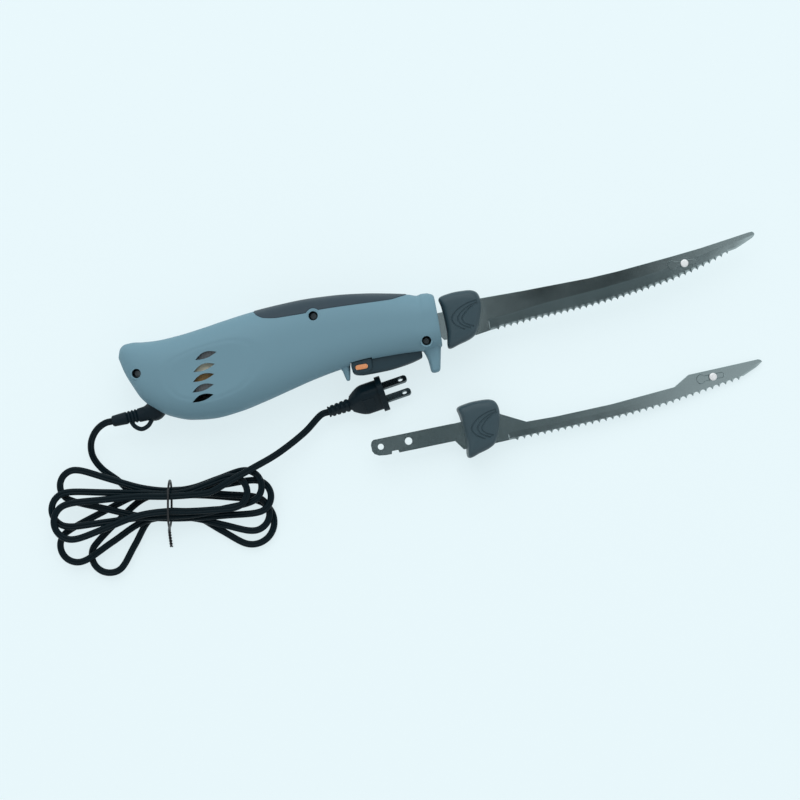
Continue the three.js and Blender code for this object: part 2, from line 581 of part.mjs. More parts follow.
// Blade outlines: spine and edge by hand, the teeth by a loop
function toothed(edge, pitch) {
  const line = new THREE.SplineCurve(edge.map(([x, y]) => new THREE.Vector2(x, y)));
  const teeth = Math.round(line.getLength() / pitch);
  return Array.from({ length: 2 * teeth + 1 }, (_, i) => {
    const p = line.getPointAt(i / (2 * teeth));
    return [p.x, p.y - (i % 2 ? 0 : TOOTH_DEPTH)];
  });
}

const TANG = [[-2.6, -TANG_HALF], [-40.8, -TANG_HALF], [-41.3, -4], [-45.5, -4], [-46, -TANG_HALF],
  [TANG_END + 4, -5.2], [TANG_END, -1.4], [TANG_END, 2.7], [TANG_END + 2.3, TANG_HALF], [4, TANG_HALF]];

const along = (points, reach) => points.map(([share, y]) => [share * reach, y]);

function filletOutline() {
  const spine = along([[0.275, 10.7], [0.477, 11.3], [0.652, 14.2], [0.831, 18.1], [0.982, 22.9], [0.995, 23],
    [1, 21], [0.989, 18.8], [0.936, 13.6]], BLADE_REACH);
  const edge = along([[0.913, 12.7], [0.799, 4.4], [0.638, -2.4], [0.459, -6.9], [0.294, -9], [0.179, -10.9]],
    BLADE_REACH);
  return [...TANG, [9, 10.8], ...spine, ...toothed(edge, TOOTH_PITCH), [33, -11.6], [24, -13], [2, -12.6]];
}

function spareOutline() {
  const spine = along([[0.146, 5.7], [0.222, -2.8], [0.316, -3.4], [0.5, -2.9], [0.708, -0.2], [0.76, 6],
    [0.989, 6.8], [1, 4.9], [0.977, 1.7]], SPARE_REACH);
  const edge = along([[0.925, -2.8], [0.803, -6.3], [0.675, -9.9], [0.552, -11.7], [0.43, -12.4],
    [0.184, -12.6]], SPARE_REACH);
  const heel = [[33, -12.6], [24, -12.8], [2, -12.6]];
  return [...TANG, [9, 9.5], [26, 9.5], ...spine, ...toothed(edge, SPARE_TOOTH_PITCH), ...heel];
}

const FILLET_RIVET = [BLADE_REACH - 49.4, 10];
const SPARE_RIVET = [SPARE_REACH - 34.8, 1.4];

// One blade of a pair: tang holes, and at the rivet either a keyhole slot or a plain hole
function blade(outline, side, [rx, ry]) {
  const tangHoles = bar('z', 2, WIDE, [TANG_END + 6.3, 0.4], 12).add(bar('z', 2.5, WIDE, [-33.3, 0.4], 12));
  const half = RIVET_R + GAP;
  const slot = box([rx - RIVET_SLOT, rx + RIVET_SLOT], [ry - half, ry + half], WIDE)
    .add(bar('z', half, WIDE, [rx + RIVET_SLOT, ry], 12))
    .add(bar('z', RIVET_HEAD_R + GAP, WIDE, [rx - RIVET_SLOT - 2, ry], 14));
  const hole = bar('z', RIVET_R + GAP, WIDE, [rx, ry], 12);
  return prism(outline, across(BLADE_Z, side)).subtract(tangHoles).subtract(side > 0 ? slot : hole);
}

function bladeRivet([x, y]) {
  const reach = BLADE_Z[1] + GAP;
  const stem = bar('z', RIVET_R, [-reach - RIVET_HEAD_HEIGHT, reach + RIVET_HEAD_HEIGHT], [x, y], 12);
  const head = (side) => bar('z', RIVET_HEAD_R, across([reach, reach + RIVET_HEAD_HEIGHT], side), [x, y], 14);
  return stem.add(bothSides(head));
}

// Half of a blade guard: a domed cap over one blade, hollowed for it
function bladeGuard(side) {
  const outline = [[3, 15.2], [10, 17.3], [19, 17.6], [26.4, 16.6], [29.2, 14.2], [30.3, 10.6], [29.9, 5],
    [28.4, -1], [26.2, -7.4], [23.2, -12.6], [19.5, -15], [12, -17.2], [4, -18.8], [4.6, -8.7], [4.4, 1.7],
    [3.7, 10]];
  const centre = [16, 0];
  const levels = [[BLADE_Z[0], 1], [GUARD_HALF * 0.6, 0.98], [GUARD_HALF * 0.87, 0.88], [GUARD_HALF, 0.68]];
  const rings = levels.map(([z, share]) => outline.map(([x, y]) => new THREE.Vector3(
    centre[0] + share * (x - centre[0]), centre[1] + share * (y - centre[1]), side * z)));
  const pocket = box([-5, 40], [-13.6, 11.4], across([0, SOCKET_FLOOR], side));
  return solid(loft(rings)).subtract(pocket);
}

// Nose bush that guides both tangs
const HEEL_ROOM = [-5.8, -14.2];
const BUSH_X = [-15.6, HEEL_ROOM[0] - GAP];
const BUSH_HALF_Y = TANG_HALF + GAP + 0.9;
const BUSH_HALF_Z = 7;
const TANG_SLOT_Z = BLADE_Z[1] + GAP;

function noseBush() {
  return box(BUSH_X, [-BUSH_HALF_Y, BUSH_HALF_Y], [-BUSH_HALF_Z, BUSH_HALF_Z])
    .subtract(box([BUSH_X[0] - 1, 1], [-TANG_HALF - GAP, TANG_HALF + GAP], [-TANG_SLOT_Z, TANG_SLOT_Z]));
}

// Trigger with lock lobe, spring pocket and an arm under the switch plunger
const PLUNGER_FOOT = SWITCH_CENTRE[1] - SWITCH_SIZE[1] / 2 - PLUNGER_OUT;

function oval([x, y], length, height) {
  const r = height / 2;
  const reach = length / 2 - r;
  const end = (side) => Array.from({ length: 5 }, (_, i) => {
    const angle = -Math.PI / 2 + (Math.PI * i) / 4;
    return [x + side * (reach + r * Math.cos(angle)), y + side * r * Math.sin(angle)];
  });
  return [...end(1), ...end(-1)];
}

function trigger() {
  const body = [[TRIGGER_FRONT, -11.5], [TRIGGER_FRONT - 0.3, -21.8], [-27, -25], [-40, -26.4], [-54, -26.6],
    [-60.8, -25], [TRIGGER_REAR, -22.5], [TRIGGER_REAR, -14.7]];
  const lobe = [[-49, -19.5], [-50, -23.5], [-54, -24.8], [-60, -24.2], [TRIGGER_REAR, -22.5],
    [TRIGGER_REAR, -18.5], [-59, LOBE_TOP], [-52, LOBE_TOP]];
  const armX = [SWITCH_CENTRE[0] - 3, SWITCH_CENTRE[0] + 3];
  const armFoot = CARRIER_Z[1] + 0.4;
  const arm = box(armX, [-16, PLUNGER_FOOT - GAP], [armFoot, TRIGGER_HALF])
    .add(box(armX, [PLUNGER_FOOT - GAP - 3, PLUNGER_FOOT - GAP], [armFoot, SWITCH_CENTRE[2] - 0.7]));
  const pocket = bar('y', SPRING_R + SPRING_WIRE_R + GAP, [SPRING_FOOT_Y - GAP, 0], [SPRING_X, 0], 14);
  const lock = prism(oval(LOCK_CENTRE, LOCK_LENGTH + 2 * GAP, LOCK_HEIGHT + 2 * GAP), WIDE);
  const pin = bar('z', TRIGGER_PIN_R + PRESS, WIDE, TRIGGER_PIVOT, 12);
  return prism(body, [-TRIGGER_HALF, TRIGGER_HALF]).add(prism(lobe, [-TRIGGER_LOBE_HALF, TRIGGER_LOBE_HALF]))
    .add(arm).subtract(pocket).subtract(lock).subtract(pin);
}

function triggerSpring() {
  const seat = -RAIL_Y - 0.4 - RAIL_THICK - GAP;
  const [low, high] = [SPRING_FOOT_Y + SPRING_WIRE_R, seat - SPRING_WIRE_R];
  const steps = SPRING_CURLS * 8;
  const points = Array.from({ length: steps + 1 }, (_, i) => {
    const turn = (2 * Math.PI * i) / 8;
    return new THREE.Vector3(SPRING_X + SPRING_R * Math.cos(turn), low + ((high - low) * i) / steps,
      SPRING_R * Math.sin(turn));
  });
  const upright = new THREE.Vector3(0, 1, 0);
  const rings = points.map((p) => {
    const outward = new THREE.Vector3(p.x - SPRING_X, 0, p.z).normalize();
    return circle(SPRING_WIRE_R, 5).map(
      ([a, b]) => p.clone().addScaledVector(outward, a).addScaledVector(upright, b));
  });
  return loft(rings);
}

function switchBody() {
  const ranges = SWITCH_SIZE.map((s, k) => [SWITCH_CENTRE[k] - s / 2, SWITCH_CENTRE[k] + s / 2]);
  const well = bar('y', PLUNGER_R + GAP, [ranges[1][0] - 1, ranges[1][0] + PLUNGER_LENGTH],
    [SWITCH_CENTRE[0], SWITCH_CENTRE[2]], 12);
  return box(...ranges).subtract(well);
}

function switchPlunger() {
  const length = [PLUNGER_FOOT, PLUNGER_FOOT + PLUNGER_LENGTH];
  return bar('y', PLUNGER_R, length, [SWITCH_CENTRE[0], SWITCH_CENTRE[2]], 12);
}

// Strain relief: a flange on the slanted rear wall, a ribbed boot, and a hanging loop
const WALL_NORMAL = new THREE.Vector3(-0.675, -0.738, 0).normalize();
const RELIEF_FLANGE_R = 6.8;
const RELIEF_NECK_R = 4.6;

function alongNormal(radius, from, to, sides = 14) {
  const geometry = new THREE.CylinderGeometry(radius, radius, to - from, sides);
  const turn = new THREE.Quaternion().setFromUnitVectors(new THREE.Vector3(0, 1, 0), WALL_NORMAL);
  const at = new THREE.Vector3(...RELIEF_BASE, 0).addScaledVector(WALL_NORMAL, (from + to) / 2);
  return solid(geometry.applyQuaternion(turn).translate(at.x, at.y, at.z));
}

function reliefBoot(grow) {
  const steps = Math.round(4 * RELIEF_RIBS);
  const path = curve(RELIEF_ROUTE, steps);
  return solid(sweep(path, (share) => {
    const ribbed = share > 0.4 && share < 0.85 && Math.round(share * steps) % 2 ? RELIEF_GROOVE : 0;
    return circle(RELIEF_ROOT_R - RELIEF_TAPER * share - ribbed + grow, 10);
  }));
}

function strainRelief() {
  const loop = sweep(curve(LOOP_ROUTE, 10), () => circle(LOOP_R, 6));
  return reliefBoot(0).add(solid(loop)).add(alongNormal(RELIEF_FLANGE_R, -0.6, 2.4))
    .add(alongNormal(RELIEF_NECK_R, -WALL - 2.6, 1))
    .add(alongNormal(RELIEF_FLANGE_R - 1, -WALL - 4.2, -WALL - 1.7));
}

function reliefCut() {
  return alongNormal(RELIEF_FLANGE_R + GAP, -0.6 - GAP, 20).add(alongNormal(RELIEF_NECK_R + GAP, -WALL - 4, 1))
    .add(alongNormal(RELIEF_FLANGE_R - 1 + GAP, -WALL - 4.2 - GAP, -WALL - 1.7 + GAP)).add(reliefBoot(GAP));
}

// Inner leads, hand-routed
const SUPPLY_ROUTE = [[-189.2, -20.2, 1], [-182, -25, 3], [-176, -27, 4], [-140, -27.5, 6], [-120, -19, 11],
  [-92, -11, 12.3], [-70, -2, 11.8], [SWITCH_CENTRE[0] - SWITCH_SIZE[0] / 2 - GAP, 0, SWITCH_CENTRE[2]]];
const NEUTRAL_ROUTE = [[-189.2, -20.2, -1.6], [-187.5, -17, -6], [BRUSH_X, -13.6, -11.2],
  [BRUSH_X, MOTOR_Y - BRUSH_SIZE[1] / 2 - HOLDER_WALL - 2 * GAP, -11.2]];
const MOTOR_ROUTE = [[SWITCH_CENTRE[0] - SWITCH_SIZE[0] / 2 - GAP, 4, SWITCH_CENTRE[2]], [-75, 5, 12],
  [-110, 7, 13.5], [-126, 9, 16.8], [-136, 8, 17.4], [CORE_X[1] + 1.9, MOTOR_Y + 11.7, 15.5],
  [CORE_X[1] + 1.9, MOTOR_Y + 11.7, CORE_HALF_Z - 3.8]];

function wire(route, radius) {
  return sweep(curve(route, 14), () => circle(radius, 5));
}

function wireCut(route) {
  return solid(wire(route, WIRE_R + 0.5));
}

// Half shells: outer body with finger guard and stop, hollowed, ribbed and cut for all it holds
function casing() {
  const inner = handleBody(WALL, [REAR + WALL + 1, NOSE - FRONT_WALL], WALL + GRIP_THICK);
  const body = outer.add(fingerGuard()).add(fingerStop());
  const frameBlock = box([FRAME_WALL_X[0] - GAP, FRAME_WALL_X[1] + GAP], [FRAME_Y[0] - GAP, FRAME_Y[1] + GAP],
    [-PLATE_Z[1] - GAP, PLATE_Z[1] + GAP]);
  const railHalfY = RAIL_Y + 0.4 + RAIL_THICK + GAP;
  const railBlock = box([RAIL_X[0], RAIL_X[1] + GAP], [-railHalfY, railHalfY],
    [-PLATE_Z[1] - GAP, PLATE_Z[1] + GAP]);
  const bracketBlock = box([BRACKET_X[0] - GAP, BRACKET_X[1] + GAP], [BRACKET_Y[0] - GAP, BRACKET_Y[1] + GAP],
    [-BRACKET_HALF_Z - GAP, BRACKET_HALF_Z + GAP]);
  const bushBlock = box([BUSH_X[0] - GAP, BUSH_X[1] + GAP], [-BUSH_HALF_Y - GAP, BUSH_HALF_Y + GAP],
    [-BUSH_HALF_Z - GAP, BUSH_HALF_Z + GAP]);
  const ribs = [
    bulkhead([CORE_X[1] - 8, CORE_X[1] - 6], coreBlock(GAP, [CORE_X[0], CORE_X[1]])),
    bulkhead([CORE_X[1] - 2, CORE_X[1]], coreBlock(GAP, [CORE_X[0], CORE_X[1] + 1])),
    bulkhead([FRAME_WALL_X[0] + 0.5, FRAME_WALL_X[1] - 0.5], frameBlock),
    bulkhead([RAIL_X[1] - 2, RAIL_X[1]], railBlock),
    bulkhead([BRACKET_X[0] + 0.5, BRACKET_X[1] - 0.5], bracketBlock),
    bulkhead([BUSH_X[0] + 1, BUSH_X[0] + 4], bushBlock),
  ];
  const bossR = SCREW_HEAD_R + GAP + BOSS_WALL;
  const lobeRoom = TRIGGER_LOBE_HALF + LOCK_PROUD + 0.4;
  const pinBoss = bar('z', TRIGGER_PIN_R + 2, [-FLAT_HALF, FLAT_HALF], TRIGGER_PIVOT).intersect(outer)
    .subtract(box([-40, 0], TALL, [-TRIGGER_HALF - GAP, TRIGGER_HALF + GAP]));
  const switchZ = [SWITCH_CENTRE[2] - SWITCH_SIZE[2] / 2, SWITCH_CENTRE[2] + SWITCH_SIZE[2] / 2 + GAP];
  const switchX = [SWITCH_CENTRE[0] - SWITCH_SIZE[0] / 2 - GAP, SWITCH_CENTRE[0] + SWITCH_SIZE[0] / 2 + GAP];
  const switchPost = box([SWITCH_CENTRE[0] - 3, SWITCH_CENTRE[0] + 3], [-1, 4], [switchZ[1], FLAT_HALF])
    .intersect(outer);
  const columns = Object.values(SCREWS).map((at) => screwColumn(at, bossR));
  let walls = body.subtract(inner);
  for (const piece of [...ribs, ...columns, pinBoss, switchPost]) walls = walls.add(piece);
  const cuts = [
    bushBlock,
    box([HEEL_ROOM[0], 1], [HEEL_ROOM[1], TANG_HALF + 1], [-TANG_SLOT_Z, TANG_SLOT_Z]),
    box([TRIGGER_REAR - TRIGGER_SWING, TRIGGER_FRONT + 0.5], [-31, -10.6],
      [-TRIGGER_HALF - 0.4, TRIGGER_HALF + 0.4]),
    box([TRIGGER_REAR - TRIGGER_SWING, -47.5], [-31, LOBE_TOP + TRIGGER_TRAVEL], [-lobeRoom, lobeRoom]),
    box(switchX, [-12, 8], [0, switchZ[1]]),
    bar('z', TRIGGER_PIN_R + PRESS, [-TRIGGER_PIN_HALF - PRESS, TRIGGER_PIN_HALF + PRESS], TRIGGER_PIVOT, 12),
    gripRegion(GAP).subtract(gripCore(GRIP_THICK + GAP)),
    reliefCut(),
    wireCut(SUPPLY_ROUTE),
    wireCut(MOTOR_ROUTE),
    ...Object.values(SCREWS).map(screwCut),
    ...VENT_CENTRES.map(vent),
  ];
  for (const cut of cuts) walls = walls.subtract(cut);
  return walls;
}

const shell = casing();
const halfSpace = (side) => box([REAR - 1, NOSE + 1], TALL, across([GAP / 2, WIDE[1]], side));

// Largest body of a cut piece, without loose crumbs
function largest(manifold) {
  return manifold.decompose().sort((a, b) => b.volume() - a.volume())[0];
}

// Mains lead section: flat twin lead, and routes in the table's frame
const [LEAD_SIDE, LEAD_SHOULDER] = [LEAD_THICK / 2, LEAD_WIDTH * 0.28];
const LEAD_SIX = [[LEAD_SHOULDER, -LEAD_SIDE], [LEAD_WIDTH / 2, 0], [LEAD_SHOULDER, LEAD_SIDE],
  [-LEAD_SHOULDER, LEAD_SIDE], [-LEAD_WIDTH / 2, 0], [-LEAD_SHOULDER, -LEAD_SIDE]];
const HANK_FLOOR = LEAD_THICK / 2 + 0.1;
const HANK_LIFT = 2 * TIE_R + 2 * GAP;

// A point of the hank in the table's frame
function hankPoint(x, y, level, lift) {
  const z = HANK_FLOOR + HANK_LIFT * lift + (HANK_LAYER / 2) * level;
  return new THREE.Vector3(HANK_CENTRE[0] + x * Math.cos(HANK_ANGLE) - y * Math.sin(HANK_ANGLE),
    HANK_CENTRE[1] + x * Math.sin(HANK_ANGLE) + y * Math.cos(HANK_ANGLE), z);
}

// A loop from the tie round its far end and back to the tie, where the lead climbs to the next layer
function hankLoop([length, direction, radius], number) {
  const side = number % 2 ? -1 : 1;
  const reach = length - radius;
  const half = (waist) => [
    ...HANK_RUN.map(([run, widen, turn, lift]) => [reach * run, waist + (radius - waist) * widen, turn, lift]),
    ...[90, 60, 30].map((degrees) => {
      const angle = THREE.MathUtils.degToRad(degrees);
      return [reach + radius * Math.cos(angle), radius * Math.sin(angle), 1, 0];
    })];
  const back = half(HANK_WAISTS[number + 1]).map(([along, off, turn, lift]) => [along, -off, turn, lift]);
  const route = [...half(HANK_WAISTS[number]), [length, 0, 1, 0], ...back.reverse()];
  const around = route.map(([along, off, turn, lift]) => {
    const angle = THREE.MathUtils.degToRad(direction) * turn;
    const [c, s] = [Math.cos(angle), Math.sin(angle)];
    const level = side * off;
    return hankPoint(side * (along * c - level * s), along * s + level * c, number + 1, lift);
  });
  return [...around, hankPoint(0, -side * HANK_WAISTS[number + 1], number + 1.5, 1)];
}

const hankPoints = [
  ...HANK_OVERRUN.map(([reach, rise]) => hankPoint(-reach, HANK_WAISTS[0] + rise, 0, 0)),
  hankPoint(0, HANK_WAISTS[0], 0.5, 1), ...HANK_LOOPS.flatMap(hankLoop),
  ...HANK_OVERRUN.toReversed().map(([reach, rise]) =>
    hankPoint(reach, HANK_WAISTS.at(-1) + rise, HANK_LOOPS.length + 1, 0))];
const hankEnd = (at, from) => at.clone().addScaledVector(at.clone().sub(from).normalize(), GAP);
const leadStart = hankEnd(hankPoints[0], hankPoints[1]);
const tailStart = hankEnd(hankPoints.at(-1), hankPoints.at(-2));
const ahead = (at, from, reach) =>
  at.clone().addScaledVector(at.clone().sub(from).normalize(), reach).toArray();

const plugAxis = new THREE.Vector3(Math.cos(PLUG_ANGLE), Math.sin(PLUG_ANGLE), 0);
const PLUG_Z = ((PLUG_FLANGE[0] + PLUG_FLANGE[1]) / 2 - 2 * PLUG_CORNER) * Math.sin(PLUG_ROLL) + PLUG_CORNER;
const plugPoint = (back) => new THREE.Vector3(...PLUG_FACE, PLUG_Z).addScaledVector(plugAxis, -back);
const PLUG_DEPTH = PLUG_FLANGE[2] + PLUG_BODY + PLUG_SLEEVE + GAP;
const plugRear = plugPoint(PLUG_DEPTH);

const boot = new THREE.Vector3(RELIEF_END[0], RELIEF_END[1], FLAT_HALF);
const LEAD_ROUTE = [[boot.x - GAP, boot.y, boot.z], [boot.x - 5.7, boot.y - 0.3, boot.z], [-237.5, -31.5, 17.5],
  [-243.4, -39.2, 11], [-244.6, -48.5, 5], [-240.5, -57.5, 2], [-231.5, -67, 1.5],
  ahead(hankPoints[0], hankPoints[1], 5.7), leadStart.toArray()];
const TAIL_ROUTE = [tailStart.toArray(), ahead(hankPoints.at(-1), hankPoints.at(-2), 5.7), [-154.3, -80, 20.6],
  [-138.9, -74.6, 18.8], [-121.1, -68, 14.8], [-100.5, -56.9, 12.3], plugPoint(PLUG_DEPTH + 5.4).toArray(),
  plugRear.toArray()];

function plugBody() {
  const rounded = (w, h, r) => {
    const [a, b] = [w / 2 - r, h / 2 - r];
    const corners = [[a, b, 0], [-a, b, 1], [-a, -b, 2], [a, -b, 3]];
    return corners.flatMap(([x, y, quarter]) => Array.from({ length: 4 }, (_, i) => {
      const angle = (Math.PI / 2) * (quarter + i / 3);
      return [x + r * Math.cos(angle), y + r * Math.sin(angle)];
    }));
  };
  const ring = (x, w, h, r) => rounded(w, h, r).map(([a, b]) => new THREE.Vector3(x, a, b));
  const [w, h, thick] = PLUG_FLANGE;
  const flange = solid(loft([ring(-thick, w, h, PLUG_CORNER), ring(0, w, h, PLUG_CORNER)]));
  const rear = -thick - PLUG_BODY;
  const shoulder = ring(rear + 7, 19, 12.5, 4.5);
  const body = solid(loft([ring(rear, 11, 9, 4), shoulder, ring(0.5 - thick, 21, 13, 4.5)]));
  const rings = Array.from({ length: 11 }, (_, i) => ring(rear + 0.5 - (PLUG_SLEEVE + 0.5) * (i / 10),
    8.6 - 0.12 * i - (i % 2 ? 0 : 1.2), 7.4 - 0.12 * i - (i % 2 ? 0 : 1.2), 2.6));
  const pockets = bothSides((side) => box([-PIN_ROOT - GAP, 1],
    across([PIN_SPACING / 2 - PIN_SIZE[2] / 2 - GAP, PIN_SPACING / 2 + PIN_SIZE[2] / 2 + GAP], side),
    [-PIN_SIZE[1] / 2 - GAP, PIN_SIZE[1] / 2 + GAP]));
  return flange.add(body).add(solid(loft(rings.reverse()))).subtract(pockets);
}

function plugPin(side) {
  const y = across([PIN_SPACING / 2 - PIN_SIZE[2] / 2, PIN_SPACING / 2 + PIN_SIZE[2] / 2], side);
  const hole = bar('y', PIN_HOLE_R, [-20, 20], [PIN_SIZE[0] - 4.4, 0], 12);
  return box([-PIN_ROOT, PIN_SIZE[0]], y, [-PIN_SIZE[1] / 2, PIN_SIZE[1] / 2]).subtract(hole);
}

// Twist tie: a wire ring round the hank's waist and its twisted tail
function twistTie() {
  const halfY = Math.max(...HANK_WAISTS) + LEAD_WIDTH / 2 + GAP + TIE_R + 0.4;
  const low = TIE_R + 0.05;
  const top = HANK_FLOOR + HANK_LIFT + (HANK_LAYER / 2) * (HANK_LOOPS.length + 1);
  const high = top + LEAD_THICK / 2 + GAP + TIE_R;
  const [r, middle] = [(high - low) / 2, (high + low) / 2];
  const half = (side) => Array.from({ length: 9 }, (_, i) => {
    const angle = -Math.PI / 2 + (Math.PI * i) / 8;
    return [side * (halfY - r + r * Math.cos(angle) + TIE_SLACK), middle + side * r * Math.sin(angle)];
  });
  const path = [...half(1), ...half(-1)];
  const rings = path.map(([y, z], i) => {
    const [before, after] = [path.at(i - 1), path[(i + 1) % path.length]];
    const normal = new THREE.Vector2(after[1] - before[1], before[0] - after[0]).normalize();
    return circle(TIE_R, 6).map(([a, b]) => new THREE.Vector3(a, y + b * normal.x, z + b * normal.y));
  });
  const closed = new THREE.BufferGeometry();
  const vertices = rings.flat().flatMap((p) => p.toArray());
  const index = [];
  for (let i = 0; i < rings.length; i += 1) {
    const next = (i + 1) % rings.length;
    for (let k = 0; k < 6; k += 1) {
      const l = (k + 1) % 6;
      index.push(i * 6 + k, next * 6 + l, next * 6 + k, i * 6 + k, i * 6 + l, next * 6 + l);
    }
  }
  closed.setAttribute('position', new THREE.Float32BufferAttribute(vertices, 3));
  closed.setIndex(index);
  const tailRoute = [[0, -halfY - 1.4, middle], [-1, -halfY - 6, 3.6], [0, -halfY - TIE_TAIL, TIE_R + 0.5]];
  const tail = sweep(tailRoute.map(vector), () => circle(TIE_R + 0.3, 6));
  return solid(closed).add(solid(tail));
}

// Least gap of the hank's tube to itself, on points half a loop or more apart
function leastGap(points) {
  let least = Infinity;
  const reach = HANK_RUN.length + 2;
  const fine = Array.from({ length: points.length * 4 - 3 }, (_, i) => {
    const [k, share] = [Math.floor(i / 4), (i % 4) / 4];
    return points[k].clone().lerp(points[Math.min(k + 1, points.length - 1)], share);
  });
  for (let i = 0; i < fine.length; i += 1) {
    for (let j = i + reach * 4; j < fine.length; j += 1) {
      const level = Math.hypot(fine[i].x - fine[j].x, fine[i].y - fine[j].y) - LEAD_WIDTH;
      const upright = Math.abs(fine[i].z - fine[j].z) - LEAD_THICK;
      least = Math.min(least, Math.max(level, upright));
    }
  }
  return least;
}
console.log(`hank: least gap to itself ${leastGap(hankPoints).toFixed(2)} mm`);

// Assembly
const object = new THREE.Group();
const knife = new THREE.Group();
knife.position.z = FLAT_HALF;
object.add(knife);

function place(group, name, shape, material) {
  const geometry = shape.isBufferGeometry ? shape : geometryOf(shape);
  const mesh = new THREE.Mesh(geometry, material());
  mesh.name = name;
  group.add(mesh);
  return mesh;
}

place(knife, 'housing_left', largest(shell.intersect(halfSpace(1))), SLATE);
place(knife, 'housing_right', largest(shell.intersect(halfSpace(-1))), SLATE);
place(knife, 'spine_grip', largest(spineGrip), SOFT_BLACK);
for (const [name, at] of Object.entries(SCREWS)) place(knife, `case_screw_${name}`, caseScrew(at), CARBON);
place(knife, 'nose_bush', noseBush(), NYLON);
place(knife, 'strain_relief', strainRelief(), BLACK);

place(knife, 'trigger', trigger(), BLACK);
const pinZ = [-TRIGGER_PIN_HALF, TRIGGER_PIN_HALF];
place(knife, 'trigger_pin', bar('z', TRIGGER_PIN_R, pinZ, TRIGGER_PIVOT, 12), STEEL);
place(knife, 'trigger_spring', triggerSpring(), STEEL);
const lockZ = [-TRIGGER_LOBE_HALF + LOCK_TRAVEL - LOCK_PROUD, TRIGGER_LOBE_HALF + LOCK_PROUD];
place(knife, 'trigger_lock', prism(oval(LOCK_CENTRE, LOCK_LENGTH, LOCK_HEIGHT), lockZ), COPPER_ORANGE);
place(knife, 'switch_body', switchBody(), CARBON);
place(knife, 'switch_plunger', switchPlunger(), NYLON);

place(knife, 'field_core', fieldCore(), DARK_STEEL);
place(knife, 'field_coil_upper', coilBlock(1, 0, COIL_X), COPPER);
place(knife, 'field_coil_lower', coilBlock(-1, 0, COIL_X), COPPER);
place(knife, 'armature_core', armatureCore(), DARK_STEEL);
place(knife, 'armature_winding', armatureWinding(), COPPER);
place(knife, 'commutator', sleeve(COMMUTATOR_R, SHAFT_R + PRESS, COMMUTATOR_X), COPPER);
place(knife, 'motor_shaft', motorShaft(), STEEL);
place(knife, 'cooling_fan', coolingFan(), CARBON);
place(knife, 'front_bearing', sleeve(BEARING_R, SHAFT_R + PRESS, FRONT_BEARING_X, 12), BRONZE);
place(knife, 'rear_bearing', sleeve(BEARING_R, SHAFT_R + PRESS, REAR_BEARING_X, 12), BRONZE);
place(knife, 'rear_bracket', rearBracket(), NYLON);
for (const [word, side] of [['left', 1], ['right', -1]]) {
  place(knife, `brush_holder_${word}`, brushHolder(side), BRASS);
  place(knife, `brush_${word}`, brushBox(side, 0, BRUSH_Z), CARBON);
}

place(knife, 'gear_frame', gearFrame(), DARK_STEEL);
place(knife, 'gear_axle', gearAxle(), STEEL);
place(knife, 'crank_gear', crankGear(), NYLON);
for (const [word, side] of [['left', 1], ['right', -1]]) {
  place(knife, `carrier_${word}`, carrier(side), NYLON);
  place(knife, `blade_latch_${word}`, bladeLatch(side), STEEL);
  place(knife, `blade_${word}`, blade(filletOutline(), side, FILLET_RIVET), STEEL);
  place(knife, `blade_guard_${word}`, bladeGuard(side), CHARCOAL);
}
place(knife, 'blade_rivet', bladeRivet(FILLET_RIVET), STEEL);
place(knife, 'supply_wire', wire(SUPPLY_ROUTE, WIRE_R), CARBON);
place(knife, 'neutral_wire', wire(NEUTRAL_ROUTE, WIRE_R), NYLON);
place(knife, 'motor_wire', wire(MOTOR_ROUTE, WIRE_R), CARBON);

// Spare set: lies beside the knife on its guard and its tip
const spare = new THREE.Group();
for (const [word, side] of [['upper', 1], ['lower', -1]]) {
  place(spare, `spare_blade_${word}`, blade(spareOutline(), side, SPARE_RIVET), STEEL);
  place(spare, `spare_guard_${word}`, bladeGuard(side), CHARCOAL);
}
place(spare, 'spare_rivet', bladeRivet(SPARE_RIVET), STEEL);
const tilt = Math.atan((GUARD_HALF - BLADE_THICK) / (SPARE_REACH - 21.8));
spare.rotation.set(0, tilt, SPARE_TURN, 'ZYX');
spare.position.set(...SPARE_PLACE, 0);
spare.updateMatrixWorld(true);
spare.position.z = -new THREE.Box3().setFromObject(spare, true).min.z;
object.add(spare);

// Mains lead in the table's frame
place(object, 'cord_lead', sweep(curve(LEAD_ROUTE, 22), () => LEAD_SIX), BLACK);
place(object, 'cord_hank', sweep(hankPoints, () => LEAD_SIX), BLACK);
place(object, 'plug_lead', sweep(curve(TAIL_ROUTE, 20), () => LEAD_SIX), BLACK);
const tie = new THREE.Group();
tie.position.set(...HANK_CENTRE, 0);
tie.rotation.z = HANK_ANGLE;
place(tie, 'twist_tie', twistTie(), BLACK);
object.add(tie);
const plug = new THREE.Group();
plug.position.copy(plugPoint(0));
plug.rotation.set(PLUG_ROLL, 0, PLUG_ANGLE, 'ZYX');
place(plug, 'plug_body', plugBody(), BLACK);
place(plug, 'plug_pin_upper', plugPin(1), STEEL);
place(plug, 'plug_pin_lower', plugPin(-1), STEEL);
object.add(plug);

// Origin: under the middle of the knife and its spare set
const extent = new THREE.Box3().setFromObject(knife, true).union(new THREE.Box3().setFromObject(spare, true));
const middle = extent.getCenter(new THREE.Vector3());
object.position.set(-middle.x, -middle.y, 0);

export default object;
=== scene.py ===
"""Electric fillet knife with its spare blade set and its mains lead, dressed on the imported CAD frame.

Shapes are drawn in millimetres in the knife's own frame: X forward from the nose face, Y to the spine and
Z across the handle. They are placed in the row frame, in metres, when they become pieces.
"""
import logging
import math
from dataclasses import dataclass
from enum import Enum
from typing import Sequence

